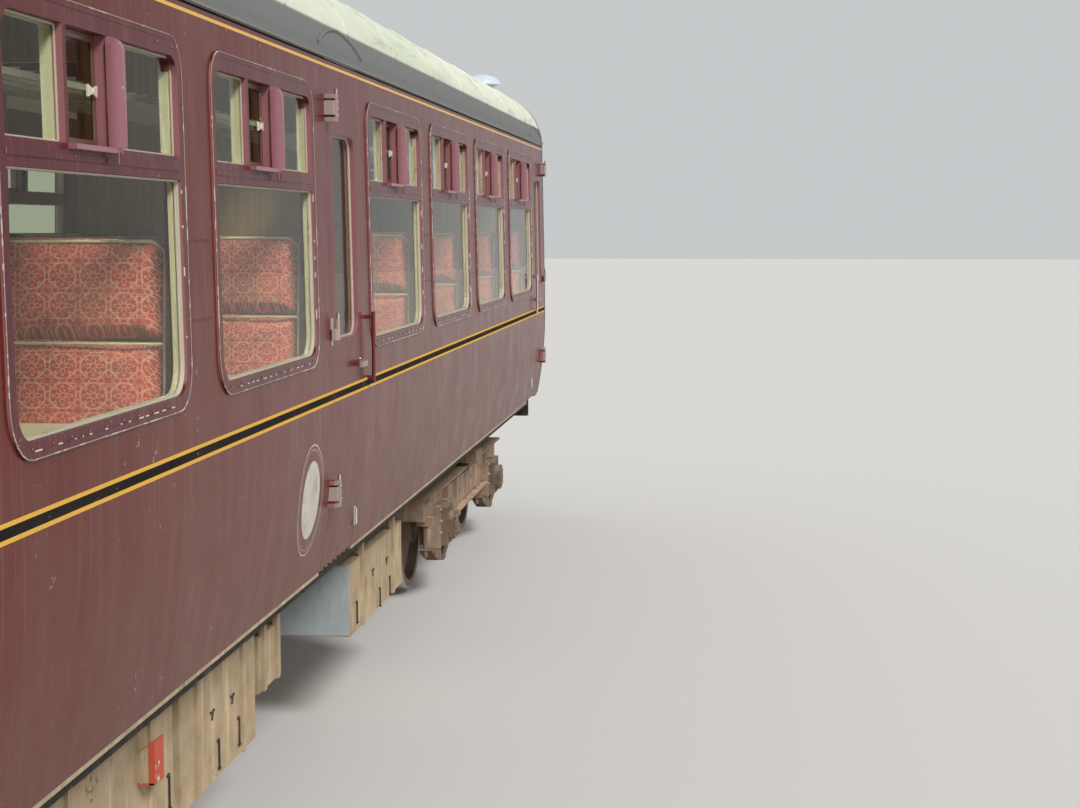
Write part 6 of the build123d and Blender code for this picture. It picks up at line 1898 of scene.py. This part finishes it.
@dataclass
class RunningGear:
    """Coils, bolts, plates and covers of one bogie, and the finish of its wheels."""

    end: End
    centre: float = 7.0865
    base: float = 1.2955
    coil_y: float = 0.845
    axle_z: float = 0.4572 + RAIL
    plate_half: float = 1.04
    plate_y: float = 1.004
    plate_thick: float = 0.018
    plate_low: float = 0.500
    plate_high: float = 0.690
    rib_high: float = 0.735
    ribs: tuple[float, ...] = (-1.02, -0.62, 0.62, 1.02)
    holes: tuple[float, ...] = (-0.86, -0.78, -0.30, 0.30, 0.78, 0.86)
    coil_foot: float = 0.392
    # Heights of the black strip under the top flange, a painted shadow.
    grease_z: Pair = (0.692, 0.722)
    bolts: int = 25
    bolt_pitch: float = 0.15
    bolt_y: float = 1.009
    bolt_z: float = 0.715
    horn_half: float = 0.182
    horn_y: float = 1.056
    horn_bolts: Point = (0.45, 0.53, 0.61)
    cover_y: float = 1.139

    def build(self) -> None:
        """Dress the bogie and add its details."""
        name = self.end.name.lower()
        sign = self.end.value
        body = f"bogie_{name}"
        middle = sign * self.centre
        dress(Finishes.bogie, f"bogie_frame_{name}", f"bogie_bolster_{name}")
        dress(Finishes.springs, f"bogie_springs_{name}")
        dress(Finishes.brakes, f"bogie_brakes_{name}")
        for label, way in (("outer", sign), ("inner", -sign)):
            axle = (middle + way * self.base, self.axle_z)
            dress(WheelSteel(f"wheel_{name}_{label}", axle), f"wheelset_{name}_{label}")
        coils = Host()
        for y in (-self.coil_y, self.coil_y):
            coils.spot((middle, y, self.coil_foot))
        sizes = {"Coil_Radius": 0.086, "Wire_Radius": 0.015, "Height": 0.365, "Turns": 6.5}
        coils.grow(f"coil_springs_{name}", PATTERNS.coils, Finishes.springs, Slot.GRIME, body, **sizes)
        bolts, holes = Host(), Host()
        plates, flange_shadow, covers = (MeshMaker() for _ in range(3))
        for out in OUTSIDES:
            self._bolts(bolts, middle, out)
            self._plates(plates, holes, middle, out)
            # Black strip under the top flange of each side frame: a painted shadow.
            flange_shadow.out = out
            flange_shadow.box(span(middle, self.plate_half), (self.plate_y, self.plate_y + 0.008), self.grease_z)
            self._covers(covers, middle, out)
        bolts.studs(f"frame_bolts_{name}", Finishes.bogie, Slot.GRIME, 0.012, 0.014, Sides=6, body=body)
        covers.finish(f"axlebox_covers_{name}", Finishes.springs, Slot.GRIME, 0.001, body)
        plates.finish(f"frame_plates_{name}", Finishes.bogie, Slot.GRIME, 0.002, body)
        flange_shadow.finish(f"flange_grease_{name}", Finishes.black_paint, Slot.GRIME, body=body)
        sizes = {"Sides": 14, "Crown": 1.0, "body": body}
        # Flat black discs: painted shade where each hole would be.
        holes.studs(f"plate_holes_{name}", Finishes.black_paint, Slot.GRIME, 0.020, 0.001, **sizes)

    def _bolts(self, host: Host, middle: float, out: int) -> None:
        """Bolt heads along a side frame and round its horns."""
        for index in range(self.bolts):
            x = middle - 1.80 + self.bolt_pitch * index
            host.stud((x, out * self.bolt_y, self.bolt_z), (0.0, out, 0.0))
        for axle in (-self.base, self.base):
            for x in span(middle + axle, self.horn_half):
                for z in self.horn_bolts:
                    host.stud((x, out * self.horn_y, z), (0.0, out, 0.0))

    def _plates(self, plates: MeshMaker, holes: Host, middle: float, out: int) -> None:
        """Deep doubling plate with ribs on a side frame, between the axleboxes, and flat black discs on it as
        the painted shade of each hole.
        """
        plates.out = out
        near, low = self.plate_y, self.plate_low
        plates.box(span(middle, self.plate_half), (near, near + self.plate_thick), (low, self.plate_high))
        for x in self.ribs:
            plates.box(span(middle + x, 0.012), (near, near + 0.046), (low, self.rib_high))
        # Places of the flat black discs, each the painted shade of a hole.
        for x in self.holes:
            holes.stud((middle + x, out * 1.0222, 0.600 + 0.025 * math.sin(9 * x)), (0.0, out, 0.0))

    def _covers(self, maker: MeshMaker, middle: float, out: int) -> None:
        """Raised cover with bolts on each axlebox of a side."""
        maker.out = out
        profile = ((0.070, 0.0), (0.070, 0.006), (0.055, 0.012), (0.020, 0.014))
        for x in span(middle, self.base):
            maker.lathe(profile, (x, out * self.cover_y, self.axle_z), (0.0, out, 0.0), 20)
            for corner in range(4):
                angle = math.radians(45 + 90 * corner)
                at, z = x + 0.082 * math.cos(angle), self.axle_z + 0.072 * math.sin(angle)
                maker.rod((at, 1.138, z), (at, 1.150, z), 0.010, 6)


@dataclass
class Underside:
    """Rivets, pipes and what sits on the faces of the boxes below the floor."""

    solebar_y: float = 1.230
    solebar_low: float = 0.9786
    box_face: float = 1.150
    rivets: int = 190
    rivet_start: float = -9.45
    rivet_pitch: float = 0.10
    lip_end: float = 9.700
    lip_gap: float = 0.355
    pipe_end: float = 9.60
    pipe_y: float = 0.42
    boxes: tuple[tuple[float, float, float, float, int], ...] = (
        (-2.420, -1.090, 0.4886, 0.9086, -1),
        (-1.010, 0.060, 0.4886, 0.9086, -1),
        (2.000, 3.510, 0.4886, 0.8536, -1),
        (-1.200, 0.300, 0.5186, 0.9086, 1),
    )
    pull_rods: tuple[Point, ...] = ((-1.150, 0.560, 0.680), (-0.505, 0.520, 0.630), (-0.205, 0.530, 0.640))
    hooks: tuple[Pair, ...] = ((-0.584, 0.753), (-0.296, 0.744), (2.620, 0.720), (3.030, 0.712))

    def build(self) -> None:
        """Dress the underframe and add its details."""
        dress(Finishes.underframe, "underframe")
        dress(Finishes.truss, "trussing", "brake_cylinders")
        dress(Finishes.box, "battery_boxes", "equipment_boxes")
        dress(Finishes.rails, "grab_rails")
        self._rivets()
        self._lips()
        self._pipes()
        self._box_doors()
        self._bracket()

    def _rivets(self) -> None:
        """Rivet heads along both solebars."""
        host = Host()
        for out in OUTSIDES:
            for index in range(self.rivets):
                x = self.rivet_start + self.rivet_pitch * index
                spot = (x, out * self.solebar_y, self.solebar_low + 0.045)
                host.stud(spot, (0.0, out, 0.0))
        # The rivet heads take the same pale finish: dust, and a painted highlight.
        host.studs("solebar_rivets", Finishes.solebar, Slot.GRIME, 0.010, 0.010)

    def _lips(self) -> None:
        """Thin pale lip under the body side between the doorways: dust, and a painted highlight of sunlit
        steel.
        """
        lip_highlights = MeshMaker()
        y = BODY.side_y(BODY.bottom + 0.001)
        doors = [edge for doorway in DOORWAYS for edge in span(doorway.centre, self.lip_gap)]
        edges = [-self.lip_end, *doors, self.lip_end]
        for side in Side:
            lip_highlights.out = side.value
            for start, end in zip(edges[::2], edges[1::2]):
                lip_highlights.box((start, end), (y - 0.050, y - 0.001), (BODY.bottom - 0.016, BODY.bottom - 0.001))
        lip_highlights.finish("body_bottom_lips", Finishes.solebar, Slot.GRIME, 0.001)

    def _pipes(self) -> None:
        """Train pipes that run below the floor."""
        host = Host()
        for y, rise in ((self.pipe_y, 0.03), (-self.pipe_y, 0.04)):
            host.run([(x, y, self.solebar_low + rise) for x in (-self.pipe_end, self.pipe_end)])
        host.tubes("train_pipes", Finishes.truss, Slot.GRIME, 0.026, 12)

    def _box_doors(self) -> None:
        """Seams, pull rods and hooks on the faces of the boxes."""
        seams, rods = MeshMaker(), MeshMaker(-1)
        face = self.box_face
        for start, end, low, high, out in self.boxes:
            seams.out = out
            doors = 2 if end - start > 1.2 else 1
            width = (end - start) / doors
            for index in range(doors):
                a, b = start + width * index + 0.012, start + width * (index + 1) - 0.012
                for x, z in (((a, a + 0.003), (low, high)), ((a, b), (low + 0.05, low + 0.053))):
                    seams.box(x, (face - 0.002, face + 0.001), z)
        for x, foot, top in self.pull_rods:
            self._pull_rod(rods, x, foot, top)
            self._pull_rod(rods, x + 3.32, foot - 0.03, top - 0.04)
        y = face + 0.003
        for x, z in self.hooks:
            for tip, rise in ((-0.030, 0.004), (-0.012, -0.028), (0.018, 0.006)):
                rods.rod((x, y, z), (x + tip, y, z + rise), 0.0045, 6)
        seams.finish("box_door_seams", Finishes.box, Slot.BOX)
        rods.finish("box_pull_rods", Finishes.black_paint, Slot.BOX)

    def _pull_rod(self, maker: MeshMaker, x: float, foot: float, top: float) -> None:
        """Thin upright rod with a turned-over top and an eye at its foot, before a box's face."""
        y = self.box_face + 0.004
        maker.rod((x, y, foot), (x, y, top), 0.0042, 6)
        maker.rod((x, y, top), (x - 0.022, y, top - 0.004), 0.0042, 6)
        maker.rod((x - 0.012, y, foot), (x + 0.012, y, foot - 0.003), 0.0062, 6)

    def _bracket(self) -> None:
        """Red-edged bracket on the first box and a clean plate on the end of the third."""
        bracket, red, plate = (MeshMaker(-1) for _ in range(3))
        for vert in bracket.box((-1.495, -1.400), (1.148, 1.208), (0.742, 0.885)):
            if vert.co.z > 0.8 and vert.co.y > -1.18:
                vert.co.z -= 0.045
        bracket.finish("box_bracket", Finishes.box, Slot.BOX, 0.002)
        red.box((-1.4965, -1.3985), (1.2075, 1.2115), (0.7415, 0.8855))
        red.box((-1.4975, -1.4945), (1.192, 1.208), (0.7415, 0.8855))
        red.box((-1.4975, -1.4945), (1.150, 1.208), (0.7415, 0.7475))
        red.finish("box_bracket_red_edge", Finishes.red_paint, Slot.BOX)
        plate.box((1.9965, 2.002), (0.660, 1.148), (0.494, 0.848))
        plate.finish("box_end_plate", Finishes.end_plate, Slot.BOX, 0.001)


class Shell:
    """Finish of the body's panels, frames, glass and doors."""

    def build(self) -> None:
        """Dress the shell's CAD nodes."""
        dress(Finishes.side, "side_left", "side_right")
        for side in ("left", "right"):
            dress(Finishes.frames, f"window_frames_{side}")
            dress(Finishes.glass, f"window_glass_{side}")
            dress(Finishes.deflector, f"air_deflectors_{side}")
            for doorway in DOORWAYS:
                dress(Finishes.door, f"door_{doorway.name}_{side}")
                dress(Finishes.glass, f"door_glass_{doorway.name}_{side}")


@dataclass
class Studio:
    """Camera at the photograph's place, soft light and a pale floor."""

    camera_at: Point = (-7.52, -3.08, 2.5486)
    yaw: float = 5.8
    pitch: float = 5.2
    lens: float = 64.83
    sensor: float = 36.0
    floor_half: float = 150.0
    floor_colour: Colour = (0.62, 0.60, 0.57)
    sky: Colour = (0.86, 0.88, 0.90)
    sky_strength: float = 0.66
    sun_strength: float = 2.7
    sun_angle: float = 18.0
    sun_way: Point = (0.58, 0.50, -0.64)

    def build(self) -> None:
        """Set up the camera, the lights and the floor."""
        self._camera()
        self._light()
        self._floor()
        bpy.context.scene.view_settings.view_transform = "Standard"

    def _camera(self) -> None:
        """Camera that looks along the side as the photograph does."""
        data = bpy.data.cameras.new("view_camera")
        data.lens = self.lens
        data.sensor_width = self.sensor
        data.sensor_fit = "HORIZONTAL"
        data.clip_start = 0.05
        data.clip_end = 400.0
        camera = link("view_camera", data)
        yaw, pitch = math.radians(self.yaw), math.radians(self.pitch)
        look = Vector((math.cos(yaw) * math.cos(pitch), math.sin(yaw) * math.cos(pitch), -math.sin(pitch)))
        camera.location = self.camera_at
        camera.rotation_euler = look.to_track_quat("-Z", "Y").to_euler()
        bpy.context.scene.camera = camera

    def _light(self) -> None:
        """Plain pale surroundings, and one wide soft lamp from the right and above."""
        world = bpy.data.worlds.new("soft_surroundings")
        world.use_nodes = True
        bpy.context.scene.world = world
        background = world.node_tree.nodes["Background"]
        background.inputs["Color"].default_value = (*self.sky, 1.0)
        background.inputs["Strength"].default_value = self.sky_strength
        data = bpy.data.lights.new("key_light", "SUN")
        data.energy = self.sun_strength
        data.angle = math.radians(self.sun_angle)
        link("key_light", data).rotation_euler = Vector(self.sun_way).to_track_quat("-Z", "Y").to_euler()

    def _floor(self) -> None:
        """Wide pale floor at the wheels' lowest point."""
        maker = MeshMaker()
        bmesh.ops.create_grid(maker.bm, x_segments=1, y_segments=1, size=self.floor_half)
        floor = link("studio_floor", maker.mesh("studio_floor"))
        paint = bpy.data.materials.new("studio_floor_pale")
        paint.use_nodes = True
        PaintWriter(paint.node_tree).feed(Base_Color=(*self.floor_colour, 1.0), Roughness=0.9)
        floor.data.materials.append(paint)


def main() -> None:
    """Build every sub-assembly in order."""
    logging.basicConfig(level=logging.INFO, format="%(name)s: %(message)s")
    Studio().build()
    Shell().build()
    for side in Side:
        WindowTrim(side).build()
        SideFittings(side).build()
        for doorway in DOORWAYS:
            DoorTrim(doorway, side).build()
    Roof().build()
    for end in End:
        EndFittings(end).build()
        Gangway(end).build()
        RunningGear(end).build()
    Underside().build()
    Saloons().build()


if __name__ == "__main__":
    main()
